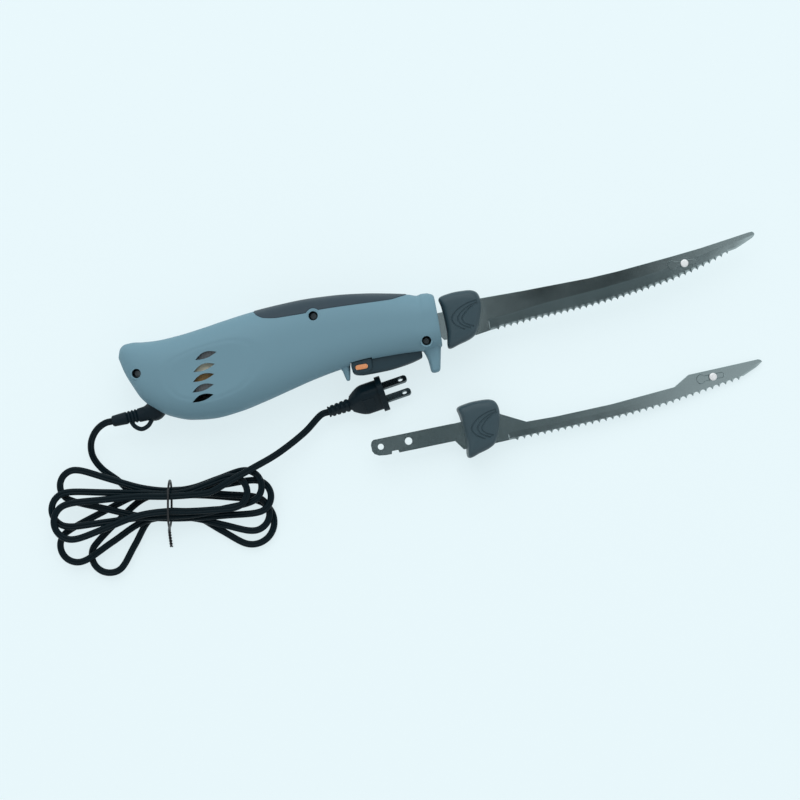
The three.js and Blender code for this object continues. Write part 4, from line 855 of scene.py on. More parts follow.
@dataclass(frozen=True)
class MainsLead:
    """Flat twin lead from the strain relief through a tied hank to the plug.

    Attributes:
        width: Width of the flat lead.
        thick: Thickness of the flat lead.
        web: Half thickness of the web between the two cores.
        boot: Where the lead leaves the strain relief, in the table's frame.
        loops: Length, direction in degrees and end radius of each loop, right and left in turn.
        run: Shares of a loop's run before its far end: length, width, turn of the axis and lift.
        waists: Half width at the tie before each loop and after the last one.
        overrun: Ends of the hank beyond the tie: length and rise, furthest first.
        floor: Height of the lowest layer's middle.
        lift: Rise of the loops over the tie.
        layer: Height between the layers.
        spacing: Distance between the points of the finished line.
        lead: Points between the strain relief and the hank, in the table's frame.
        tail: Points between the hank and the plug, in the table's frame.
        tail_end: Distances behind the plug's face of the last two points.
    """

    width: float = 4.6
    thick: float = 2.6
    web: float = 0.6
    boot: tuple[float, float, float] = (-224.3, -27.5, 22.0)
    loops: tuple[tuple[float, float, float], ...] = (
        (71.0, -13.0, 15.0), (66.0, -40.0, 12.0), (67.0, -7.0, 11.5), (80.0, -24.0, 11.5), (68.0, 5.0, 11.0),
        (75.0, 11.0, 10.5), (63.0, 13.0, 11.0), (79.0, -3.0, 11.5), (53.0, 11.0, 10.5), (78.0, -10.0, 12.0))
    run: tuple[tuple[float, float, float, float], ...] = ((0.3, 0.18, 0.4, 0.35), (0.66, 0.64, 0.85, 0.0))
    waists: tuple[float, ...] = (5.5, 5.0, 7.5, 8.5, 9.0, 9.5, 9.0, 8.0, 7.0, 4.5, 5.5)
    overrun: tuple[tuple[float, float], ...] = ((28.0, 3.0), (20.0, 1.5))
    floor: float = 1.4
    lift: float = 2.2
    layer: float = 3.4
    spacing: float = 1.3
    lead: tuple[tuple[float, float, float], ...] = (
        (-237.5, -31.5, 17.5), (-243.4, -39.2, 11.0), (-244.6, -48.5, 5.0), (-240.5, -57.5, 2.0),
        (-231.5, -67.0, 1.5))
    tail: tuple[tuple[float, float, float], ...] = (
        (-154.3, -80.0, 20.6), (-138.9, -74.6, 18.8), (-121.1, -68.0, 14.8), (-100.5, -56.9, 12.3))
    tail_end: tuple[float, float] = (44.7, 39.3)

    def hank_points(self, flat: Array, level: Array | float, lift: Array | float) -> Array:
        """Points of the hank in the table's frame.

        Args:
            flat: Points in the tie's frame, two numbers per line.
            level: Half layers above the lowest one.
            lift: Share of the rise over the tie.

        Returns:
            Points, one per line.
        """
        height = np.broadcast_to(self.floor + self.lift * lift + self.layer / 2.0 * level, len(flat))
        return np.column_stack([flat, height]) @ turn_z(LAYOUT.hank_turn).T + np.array(LAYOUT.hank_centre)

    def hank_loop(self, number: int) -> Array:
        """One loop from the tie round its far end and back to the tie.

        The far end is half a circle, its points 30 degrees apart, and the runs to it widen from the waist.
        The axis turns aside by a growing share of the loop's direction.

        Args:
            number: Which loop; even ones lie to the right.

        Returns:
            Points in the table's frame.
        """
        length, direction, radius = self.loops[number]
        side = -1.0 if number % 2 else 1.0
        reach = length - radius
        angle = np.radians([90.0, 60.0, 30.0, 0.0])
        end = np.column_stack([reach + radius * np.cos(angle), radius * np.sin(angle), np.ones(4), np.zeros(4)])
        run = np.array(self.run)

        def half(waist: float) -> Array:
            """Run from the tie to the far end.

            Args:
                waist: Half width at the tie.

            Returns:
                Length, width, turn and lift, one point per line.
            """
            start = run * np.array([reach, radius - waist, 1.0, 1.0]) + np.array([0.0, waist, 0.0, 0.0])
            return np.vstack([start, end])

        back = half(self.waists[number + 1])[-2::-1] * np.array([1.0, -1.0, 1.0, 1.0])
        along, off, turn, lift = np.vstack([half(self.waists[number]), back]).T
        aside = math.radians(direction) * turn
        c, s = np.cos(aside), np.sin(aside)
        flat = np.column_stack([side * (along * c - side * off * s), along * s + side * off * c])
        around = self.hank_points(flat, number + 1.0, lift)
        tie = np.array([[0.0, -side * self.waists[number + 1]]])
        return np.vstack([around, self.hank_points(tie, number + 1.5, 1.0)])

    def hank(self) -> Array:
        """Centreline of the hank: loops fan out on both sides of the tie and climb a layer at each turn.

        Returns:
            Points in the table's frame.
        """
        ends = np.array(self.overrun)
        first = ends * np.array([-1.0, 1.0]) + np.array([0.0, self.waists[0]])
        last = ends[::-1] + np.array([0.0, self.waists[-1]])
        count = len(self.loops)
        return np.vstack([
            self.hank_points(first, 0.0, 0.0), self.hank_points(np.array([[0.0, self.waists[0]]]), 0.5, 1.0),
            *(self.hank_loop(number) for number in range(count)), self.hank_points(last, count + 1.0, 0.0)])

    def centreline(self) -> Array:
        """Whole centreline from the strain relief to the plug.

        Returns:
            Points in the table's frame.
        """
        boot = np.array(self.boot)
        lead = np.array([boot + [-0.3, 0.0, 0.0], boot + [-5.7, -0.3, 0.0], *self.lead])
        along = turn_z(LAYOUT.plug_turn)[:, 0]
        plug = np.array(LAYOUT.plug_face)
        tail = np.array([*self.tail, *(plug - along * behind for behind in self.tail_end)])
        route = np.vstack([lead, self.hank(), tail])
        length = float(np.linalg.norm(np.diff(route, axis=0), axis=1).sum())
        return spaced(route, round(length / self.spacing))

    def section(self) -> Array:
        """Outline of the flat twin: two round cores side by side, joined by a thinner web.

        Returns:
            Points, two numbers per line.
        """
        angle = np.linspace(0.0, 2.0 * math.pi, 28, endpoint=False) + 0.04
        radius = self.thick / 2.0
        off = self.width / 2.0 - radius
        c, s = np.abs(np.cos(angle)), np.abs(np.sin(angle))
        cores = off * c + np.sqrt(np.maximum(0.0, radius**2 - (off * s) ** 2))
        bridge = np.where(c * self.web / np.maximum(s, 1e-6) < off, self.web / np.maximum(s, 1e-6), 0.0)
        reach = np.maximum(cores, bridge)
        return np.stack([reach * np.cos(angle), reach * np.sin(angle)], axis=1)

    def build(self, plug_pieces: list[bpy.types.Object]) -> None:
        """Args:
            plug_pieces: Pieces on the lead's far end. Not used.
        """
        path = self.centreline()
        mount = Mount("handle", "cord_vinyl", ("cord_lead", "cord_hank", "plug_lead"), Place.TABLE)
        piece = add_piece("mains_lead", tube(path, self.section()), VINYL, mount, sharp=60.0)


@dataclass(frozen=True)
class Plug:
    """Moulded two-pin plug with a ribbed sleeve.

    Attributes:
        flange: Width, height and thickness of the face flange.
        corner: Corner radius of the flange.
        body: Length of the wedge body.
        sleeve: Length of the ribbed sleeve.
        spacing: Distance between the pins.
        pin: Length, width and thickness of a pin.
        root: Length of a pin inside the body.
        hole: Radius of the pin's hole.
        hole_back: How far the hole is from the tip.
        panel_ends: Ends of a thumb panel before the body's rear and behind the flange.
        panel_half: Half width of a thumb panel.
        panel_rise: Lower and upper face of a thumb panel.
    """

    flange: tuple[float, float, float] = (25.0, 16.0, 4.0)
    corner: float = 6.0
    body: float = 20.0
    sleeve: float = 16.0
    spacing: float = 12.7
    pin: tuple[float, float, float] = (17.0, 6.35, 1.5)
    root: float = 5.0
    hole: float = 1.6
    hole_back: float = 4.4
    panel_ends: tuple[float, float] = (8.0, 4.0)
    panel_half: float = 6.0
    panel_rise: tuple[float, float] = (5.6, 6.8)

    @staticmethod
    def ring(x: float, width: float, height: float, corner: float) -> Array:
        """Rounded rectangle across the plug's axis.

        Args:
            x: Place on the axis.
            width: Width.
            height: Height.
            corner: Corner radius.

        Returns:
            Points of the ring.
        """
        angle = np.linspace(0.0, 2.0 * math.pi, 64, endpoint=False) + math.pi / 64.0
        c, s = np.cos(angle), np.sin(angle)
        y = np.sign(c) * (width / 2.0 - corner) + corner * c
        z = np.sign(s) * (height / 2.0 - corner) + corner * s
        return np.stack([np.full_like(y, x), y, z], axis=1)

    def build(self) -> list[bpy.types.Object]:
        """Makes the plug.

        Returns:
            Its pieces.
        """
        width, height, thick = self.flange
        plate = loft(np.stack([self.ring(x, width, height, self.corner) for x in (-thick, 0.0)]))
        rear = -thick - self.body
        place = np.linspace(0.0, 1.0, 24)
        swell = np.sin(np.minimum(1.0, place * 1.9) * math.pi / 2.0)
        wedge = loft(np.stack([
            self.ring(rear + t * (self.body + 0.5), 11.0 + 10.0 * s, 9.0 + 4.0 * s, 4.2)
            for t, s in zip(place, swell)]))
        share = np.linspace(0.0, 1.0, 81)
        groove = 1.2 * (0.5 - 0.5 * np.cos(2.0 * math.pi * 5.0 * share)) ** 3
        ribs = loft(np.stack([
            self.ring(rear + 0.6 - (self.sleeve + 0.6) * t, 8.6 - 1.2 * t - g, 7.4 - 1.2 * t - g, 2.6)
            for t, g in zip(share, groove)]))
        mount = Mount("handle", "cord_vinyl", ("plug_body",), Place.PLUG)
        pieces = [add_piece("plug_moulding", plate + wedge + ribs, PLUG_VINYL, mount, bevel=0.5)]
        pieces.append(add_piece("plug_thumb_panel", self.panel(), PLUG_VINYL,
                                Mount("handle", "cord_vinyl", (), Place.PLUG), bevel=0.2))
        pieces += [self.contact("upper", 1.0), self.contact("lower", -1.0)]
        return pieces

    def panel(self) -> Shape:
        """Raised thumb panels on both broad faces of the wedge.

        Returns:
            Two thin plates.
        """
        thick = self.flange[2]
        ends = [-thick - self.body + self.panel_ends[0], -thick - self.panel_ends[1]]
        plate = box(ends, [-self.panel_half, self.panel_half], self.panel_rise)
        return plate + plate.turned(np.diag([1.0, 1.0, -1.0]))

    def contact(self, word: str, side: float) -> bpy.types.Object:
        """One flat pin with a rounded tip and a hole.

        Args:
            word: Name of the pin.
            side: 1 or -1 across the face.

        Returns:
            The piece.
        """
        length, width, thick = self.pin
        half = width / 2.0
        outline = np.array([[-self.root, -half], [length - 1.6, -half], [length - 0.5, -half * 0.72],
                            [length, -half * 0.3], [length, half * 0.3], [length - 0.5, half * 0.72],
                            [length - 1.6, half], [-self.root, half]])
        stand = turn_x(math.pi / 2.0)
        bar = prism(outline, -thick / 2.0, thick / 2.0).turned(stand)
        bar = bar.moved([0.0, side * self.spacing / 2.0, 0.0])
        hole = round_bar(length - self.hole_back, 0.0, self.hole, -20.0, 20.0).turned(stand)
        mount = Mount("handle", "bright_steel", (f"plug_pin_{word}",), Place.PLUG)
        return add_piece(f"plug_contact_{word}", bar, PIN_METAL, mount, [hole], bevel=0.2)


@dataclass(frozen=True)
class TwistTie:
    """Coated wire round the hank's waist, with its two ends twisted together.

    Attributes:
        radius: Radius of the coated wire.
        half_width: Half width of the ring.
        low: Height of its lower run.
        high: Height of its upper run.
        tail: Length of the twisted ends.
        sides: Sides of the wire.
        turns: Turns of the twist.
        strand: Radius of one end in the twist.
        apart: Radius of the twist.
    """

    radius: float = 0.75
    half_width: float = 15.8
    low: float = 0.85
    high: float = 24.7
    tail: float = 13.5
    sides: int = 14
    turns: float = 5.0
    strand: float = 0.55
    apart: float = 0.62

    def build(self) -> None:
        """Makes the ring and the twisted tail."""
        r = (self.high - self.low) / 2.0
        middle = (self.high + self.low) / 2.0
        straight = self.half_width - r
        angle = np.linspace(-math.pi / 2.0, math.pi / 2.0, 24)
        right = np.stack([straight + r * np.cos(angle), middle + r * np.sin(angle)], axis=1)
        loop = np.vstack([right, np.array([0.0, 2.0 * middle]) - right])
        step = np.roll(loop, -1, axis=0) - np.roll(loop, 1, axis=0)
        normal = np.stack([step[:, 1], -step[:, 0]], axis=1) / np.linalg.norm(step, axis=1, keepdims=True)
        wire = super_ring(self.sides, 2.0) * self.radius
        across = loop[:, None] + wire[None, :, 1:] * normal[:, None]
        rings = np.concatenate([np.broadcast_to(wire[None, :, :1], (len(loop), self.sides, 1)), across], axis=2)
        faces = grid_faces(len(loop) + 1, self.sides, True) % (len(loop) * self.sides)
        ring = Shape(rings.reshape(-1, 3), faces.tolist()).outward()
        line = spaced([[0.0, -self.half_width - 0.3, middle], [-1.0, -self.half_width - 3.5, 4.2],
                       [0.0, -self.half_width - self.tail, 1.5]], 60)
        turn = np.linspace(0.0, self.turns * 2.0 * math.pi, len(line))
        twist = np.stack([np.cos(turn), 0.35 * np.sin(turn), np.sin(turn)], axis=1) * self.apart
        strand = super_ring(12, 2.0) * self.strand
        tail = tube(line + twist, strand) + tube(line - twist, strand)
        mount = Mount("handle", "cord_vinyl", ("twist_tie",), Place.TIE)
        add_piece("tie_wire", ring + tail, TIE_COAT, mount, sharp=60.0)


@dataclass(frozen=True)
class StrainRelief:
    """Tapered ribbed boot on the rear wall, with a hanging loop.

    Attributes:
        route: Centreline of the boot.
        root: Radius where it leaves the wall.
        taper: How much it narrows.
        grooves: Number of grooves.
        depth: Depth of a groove.
        loop: Centreline of the hanging loop.
        loop_radius: Radius of the loop's cord.
        flare: How much wider it is at the wall.
        band: Shares of the boot's length between which the grooves lie.
    """

    route: tuple[tuple[float, float, float], ...] = (
        (-194.5, -23.2, 0.0), (-197.0, -25.2, 0.0), (-204.0, -26.4, 0.0), (-214.0, -26.9, 0.0),
        (-225.3, -27.6, 0.0))
    root: float = 5.4
    taper: float = 1.7
    grooves: int = 4
    depth: float = 0.8
    loop: tuple[tuple[float, float, float], ...] = (
        (-214.0, -27.5, 0.0), (-211.0, -33.6, 0.0), (-206.9, -36.0, 0.0), (-202.4, -34.6, 0.0),
        (-199.5, -31.4, 0.0), (-196.5, -27.5, 0.0))
    loop_radius: float = 1.5
    flare: float = 2.3
    band: tuple[float, float] = (0.42, 0.7)

    def build(self) -> None:
        """Makes the boot and the loop as one moulding.

        The radius falls evenly from the root to the end, less the grooves, plus a flare that fades out near
        the wall.
        """
        share = np.linspace(0.0, 1.0, 150)
        first, last = self.band
        inside = np.clip((share - first) / (last - first), 0.0, 1.0)
        groove = self.depth * (0.5 - 0.5 * np.cos(2.0 * math.pi * self.grooves * inside)) ** 2
        end = 0.5 * smooth_step(share, 0.97, 1.0)
        flare = self.flare * (1.0 - smooth_step(share, 0.06, 0.3))
        radius = self.root + flare - self.taper * share - groove - end
        boot = tube(spaced(self.route, 150), super_ring(36, 2.0), radius)
        loop = tube(spaced(self.loop, 60), super_ring(18, 2.2) * self.loop_radius)
        mount = Mount("handle", "black_plastic", ("strain_relief",))
        add_piece("cord_boot", boot + loop, PLUG_VINYL, mount, bevel=0.35)


# Handle


@dataclass(frozen=True)
class HandleForm:
    """Outer surface of the handle: a superellipse section that changes along X, flattened on both sides.

    Attributes:
        stations: X, spine, belly and half width along the handle.
        power: Roundness of the section.
        flat: Half width across the flats.
        crease: How tightly the flats meet the round sides.
        hollow: Depth and half width in Z of the soft groove round the rear flats.
        hollow_end: X where the groove begins to fade, and where it is gone.
    """

    stations: tuple[tuple[float, float, float, float], ...] = (
        (-213.9, 13.5, 12.5, 0.8), (-213.5, 14.6, 11.3, 3.0), (-211.5, 19.3, 3.0, 8.0),
        (-208.0, 21.4, -6.0, 12.0), (-203.0, 21.7, -16.5, 15.5), (-196.0, 20.8, -24.0, 18.5),
        (-186.0, 20.2, -31.0, 21.5),
        (-172.0, 21.0, -36.0, 23.6), (-156.0, 23.0, -37.6, 24.5), (-140.0, 25.5, -36.0, 24.0),
        (-122.0, 27.9, -32.2, 22.0), (-104.0, 29.3, -27.6, 20.0), (-86.0, 30.0, -23.2, 19.0),
        (-66.0, 29.2, -19.6, 19.0), (-46.0, 27.0, -17.6, 19.6), (-30.0, 24.2, -17.4, 20.6),
        (-16.0, 21.2, -17.8, 21.8), (-10.8, 19.7, -18.0, 22.1), (-8.0, 20.3, -18.0, 22.3),
        (-4.6, 20.1, -17.8, 22.2), (-2.0, 19.2, -17.3, 21.7), (-0.6, 18.4, -16.8, 21.1),
        (0.0, 17.6, -16.2, 20.3))
    power: float = 2.6
    flat: float = 22.0
    crease: float = 3.6
    hollow: tuple[float, float] = (0.3, 0.4)
    hollow_end: tuple[float, float] = (-120.0, -100.0)

    def outline(self, x: Array, lift: Array | float) -> tuple[Array, Array, Array]:
        """Middle, half height and half width along the handle.

        Args:
            x: Places along the handle.
            lift: How far outside the surface.

        Returns:
            Middle Y, half height and half width.
        """
        table = np.array(self.stations)
        spine, belly, half = (monotone(table[:, 0], table[:, k], x) for k in (1, 2, 3))
        return (spine + belly) / 2.0, (spine - belly) / 2.0 + lift, half + lift

    def surface(self, x: Array, angle: Array, lift: Array | float = 0.0) -> Array:
        """Points on the surface.

        Y follows the shaped cosine and Z the shaped sine of the angle, where shaped means the power 2/power,
        and Z is held under the flats by a soft minimum. A bell curve over the free Z, centred on the flats'
        height, draws the groove round them.

        Args:
            x: Places along the handle.
            angle: Angles from the spine.
            lift: How far outside the surface.

        Returns:
            Points, as an array of the inputs' common shape by three.
        """
        x, angle, lift = np.broadcast_arrays(x, angle, lift)
        middle, rise, half = self.outline(x, lift)
        shaped = [np.sign(v) * np.abs(v) ** (2.0 / self.power) for v in (np.cos(angle), np.sin(angle))]
        z = half * shaped[1]
        held = -np.logaddexp(-self.crease * np.abs(z), -self.crease * (self.flat + lift)) / self.crease
        depth, spread = self.hollow
        fade = 1.0 - smooth_step(x, *self.hollow_end)
        held = held - depth * fade * np.exp(-(((np.abs(z) - self.flat - lift) / spread) ** 2))
        return np.stack([x, middle + rise * shaped[0], np.sign(z) * np.maximum(held, 0.0)], axis=-1)


FORM = HandleForm()


@dataclass(frozen=True)
class Casing:
    """Two half shells with vents, screw wells, a finger guard and a finger stop.

    Attributes:
        wall: Wall thickness.
        seam: Half width of the seam line.
        vents: Middles of the leaf shaped vents.
        vent_length: Length of a vent.
        vent_height: Height of a vent.
        vent_angle: Slope of a vent in degrees.
        screws: Middles of the screw wells by name.
        well: Radius of a screw well.
        TRIGGER_ROOM: Ends along X, Y and Z of the opening for the trigger.
        LOBE_ROOM: Ends along X, Y and Z of the opening for the trigger's lobe.
        TANG_ROOM: Ends along X, Y and Z of the opening for the tangs.
        GUARD_ROWS: Y, front X, rear X and half width of the finger guard.
        STOP_ROWS: The same of the finger stop.
        COLUMN: Middle radius, half wall and floor of a screw well's column.
        HEAD: Radius and height of a screw head, from its seat to its crown.
        SHANK: Radius, lower and upper end of a screw's shank.
        CROSS: Half length, half width, lower and upper end of a cross slot.
    """

    wall: float = 2.4
    seam: float = 0.12
    vents: tuple[tuple[float, float], ...] = (
        (-154.6, 3.8), (-157.1, -3.8), (-158.6, -10.2), (-160.1, -16.9), (-161.3, -23.4))
    vent_length: float = 15.0
    vent_height: float = 4.6
    vent_angle: float = 11.0
    screws: tuple[tuple[str, float, float], ...] = (
        ("rear", -202.3, 0.6), ("middle", -80.8, 17.8), ("front", -10.0, -11.4))
    well: float = 3.1

    TRIGGER_ROOM = ((-63.0, -13.5), (-31.0, -10.6), (-7.9, 7.9))
    LOBE_ROOM = ((-62.5, -47.5), (-31.0, -12.3), (-10.7, 10.7))
    TANG_ROOM = ((-8.0, 1.0), (-14.2, 6.9), (-1.45, 1.45))
    GUARD_ROWS = (
        (-14.0, -0.5, -14.9, 12.6), (-17.0, -1.0, -13.3, 11.8), (-20.0, -1.6, -12.0, 11.2),
        (-24.0, -2.4, -10.9, 10.8), (-28.0, -3.2, -10.5, 10.5), (-31.0, -3.8, -10.3, 10.0),
        (-32.2, -4.4, -9.9, 9.2), (-32.8, -5.3, -9.1, 7.6), (-33.0, -6.4, -8.0, 5.0))
    STOP_ROWS = (
        (-17.0, -62.4, -71.0, 7.0), (-19.6, -62.8, -69.4, 6.4), (-21.5, -63.1, -68.3, 6.0),
        (-25.0, -63.7, -67.5, 5.6), (-27.4, -64.2, -66.9, 4.8), (-28.3, -64.8, -66.3, 3.2))
    COLUMN = (3.55, 0.45, 4.0)
    HEAD = ((2.8, 6.3), (2.8, 7.9), (2.55, 8.35), (2.0, 8.5))
    SHANK = (1.5, -9.7, 6.6)
    CROSS = (1.9, 0.35, 7.5, 9.0)

    def shell(self, side: Side) -> Shape:
        """Half shell: the handle's surface and the same surface drawn in by the wall.

        Args:
            side: Which half.

        Returns:
            The closed half shell.
        """
        body = np.concatenate([np.linspace(-213.9, -205.0, 26)[:-1], np.linspace(-205.0, -18.0, 150)[:-1],
                               np.linspace(-18.0, -3.0, 28)[:-1], np.linspace(-3.0, 0.0, 12)])
        caps = np.linspace(0.04, 1.0, 9)[:-1]
        x = np.concatenate([np.full(8, body[0]), body, np.full(8, body[-1])])[:, None]
        share = np.concatenate([caps, np.ones(len(body)), caps[::-1]])[:, None]
        angle = np.linspace(0.0, math.pi, 120)[None]

        def skin(at: Array, lift: float) -> Array:
            """One of the two surfaces with its ends drawn together.

            Args:
                at: Places along the handle.
                lift: How far outside the surface.

            Returns:
                Grid of points.
            """
            points = FORM.surface(at, angle, lift)
            middle = FORM.outline(at, lift)[0]
            points[..., 1] = middle + share * (points[..., 1] - middle)
            points[..., 2] = np.maximum(share * points[..., 2], self.seam)
            return points

        return slab(skin(x, 0.0), skin(np.clip(x, -209.5, -3.2), -self.wall)).on(side)

    def leaf(self, x: float, y: float) -> Shape:
        """Leaf shaped vent: a full upper arc and a shallow lower one between two points.

        Args:
            x: Middle X.
            y: Middle Y.

        Returns:
            Prism through the wall at positive Z.
        """
        share = np.linspace(0.0, 1.0, 20)
        arc = np.sin(math.pi * share)
        upper = np.stack([(0.5 - share) * self.vent_length, 0.62 * self.vent_height * arc**0.9], axis=1)
        lower = np.stack([(share - 0.5) * self.vent_length, -0.3 * self.vent_height * arc], axis=1)
        outline = np.vstack([upper[:-1], lower[:-1]]) @ turn_z(math.radians(self.vent_angle))[:2, :2].T
        return prism(outline + np.array([x, y]), 3.0, 30.0)

    def cuts(self, side: Side) -> list[Shape]:
        """What is cut out of a half shell.

        Args:
            side: Which half.

        Returns:
            Closed shapes.
        """
        leaves = [self.leaf(x, y).on(side) for x, y in self.vents]
        cuts = [*leaves, *(box(*room) for room in (self.TRIGGER_ROOM, self.LOBE_ROOM, self.TANG_ROOM))]
        if side is Side.LEFT:
            wells = [round_bar(x, y, self.well, 0.0, 40.0) for _, x, y in self.screws]
            cuts.append(wells[0] + wells[1] + wells[2])
        return cuts

    def finger_guard(self) -> Shape:
        """Post below the nose, flared where it leaves the nose and rounded at its end.

        Returns:
            The post.
        """
        rows = np.array(self.GUARD_ROWS)
        at = np.linspace(0.0, len(rows) - 1.0, 60)
        fine = np.stack([np.interp(at, np.arange(len(rows)), rows[:, k]) for k in range(4)], axis=1)
        return post(fine, super_ring(48, 3.4))

    def finger_stop(self) -> Shape:
        """Small spur behind the trigger.

        Returns:
            The spur.
        """
        return post(np.array(self.STOP_ROWS), super_ring(40, 3.0))

    def build(self) -> None:
        """Makes the shells, the wells, the screws, the finger guard and the finger stop."""
        for side in Side:
            word = side.name.lower()
            mount = Mount("handle", "slate_body", (f"housing_{word}",))
            add_piece(f"shell_{word}", self.shell(side), SLATE, mount, self.cuts(side), sharp=32.0)
        plain = Mount("handle", "slate_body")
        add_piece("finger_guard", self.finger_guard(), SLATE, plain)
        add_piece("finger_stop", self.finger_stop(), SLATE, plain)
        for name, x, y in self.screws:
            self.screw(name, x, y)

    def screw(self, name: str, x: float, y: float) -> None:
        """Screw well with a screw head on its floor.

        Args:
            name: Name of the screw.
            x: Middle X.
            y: Middle Y.
        """
        angle = np.linspace(0.0, math.pi, 200)
        skin = FORM.surface(np.full_like(angle, x), angle)
        top = float(np.interp(-y, -skin[:, 1], skin[:, 2]))
        radius, wall, floor = self.COLUMN
        circle = super_ring(48, 2.0) * radius
        path = np.hstack([circle + np.array([x, y]), np.full((48, 1), (top + floor) / 2.0 - 0.2)])
        half = (top - floor) / 2.0
        column = tube(path, np.array([[-wall, -half], [wall, -half], [wall, half], [-wall, half]]), closed=True)
        add_piece(f"screw_well_{name}", column, SLATE, Mount("handle", "slate_body"))
        ring = super_ring(40, 2.0)
        middle = np.array([x, y])
        head = loft(np.stack([np.hstack([ring * r + middle, np.full((40, 1), z)]) for r, z in self.HEAD]))
        shank = round_bar(x, y, *self.SHANK, 24)
        length, width, low, high = self.CROSS
        arms = ((length, width), (width, length))
        slots = [box([x - a, x + a], [y - b, y + b], [low, high]) for a, b in arms]
        mount = Mount("handle", "core_steel", (f"case_screw_{name}",))
        add_piece(f"screw_{name}", head, DARK_SCREW, mount, slots)
        add_piece(f"screw_shank_{name}", shank, DARK_SCREW, Mount("handle", "core_steel"))


@dataclass(frozen=True)
class SpineGrip:
    """Soft skin over the spine, its lower edge drawn as a leaf with a notch round the middle screw.

    Attributes:
        edge: Lower edge, X and Y.
        notch: Middle and radius of the notch.
        proud: How far the skin stands out of the shell.
        depth: How far it reaches into the shell.
        roll: Width of the rolled rim.
        tuck: How far the rim lies under the shell's surface.
    """

    edge: tuple[tuple[float, float], ...] = (
        (-119.9, 27.8), (-117.6, 24.5), (-112.8, 21.8), (-103.4, 20.4), (-84.4, 20.2), (-75.4, 20.9),
        (-52.0, 20.3), (-28.9, 19.5), (-22.0, 20.4), (-17.3, 21.3))
    notch: tuple[float, float, float] = (-80.8, 17.8, 4.9)
    proud: float = 0.35
    depth: float = 1.4
    roll: float = 0.7
    tuck: float = 0.5

    def build(self) -> None:
        """Makes the skin as a patch of the handle's surface, its rim rolled under."""
        edge = np.array(self.edge)
        x = np.sort(np.concatenate([np.linspace(edge[0, 0], edge[-1, 0], 190), np.linspace(-86.0, -75.6, 40)]))
        low = monotone(edge[:, 0], edge[:, 1], x)
        mx, my, radius = self.notch
        arch = my + np.sqrt(np.maximum(0.0, radius**2 - (x - mx) ** 2))
        low = np.maximum(low, np.where(np.abs(x - mx) < radius, arch, low))
        middle, rise, _ = FORM.outline(x, 0.0)
        reach = np.arccos(np.clip(((low - middle) / rise), 0.0, 1.0) ** (FORM.power / 2.0))
        reach = np.maximum(reach, 0.03)
        share = np.sin(np.linspace(-1.0, 1.0, 75) * math.pi / 2.0)
        angle = reach[:, None] * share[None]
        rim = np.minimum(1.0 - np.abs(share)[None], 1.0) * np.maximum(reach[:, None] * 20.0, 0.5)
        ends = np.minimum(x - x[0], x[-1] - x)[:, None]
        near = np.clip(np.minimum(rim, ends) / self.roll, 0.0, 1.0)
        lift = (self.proud + self.tuck) * np.sqrt(near * (2.0 - near)) - self.tuck
        top = FORM.surface(x[:, None], angle, lift)
        under = FORM.surface(x[:, None], angle, np.full_like(lift, -self.depth))
        mount = Mount("handle", "soft_grip", ("spine_grip",))
        add_piece("spine_skin", slab(top, under), GRIP, mount, sharp=50.0)


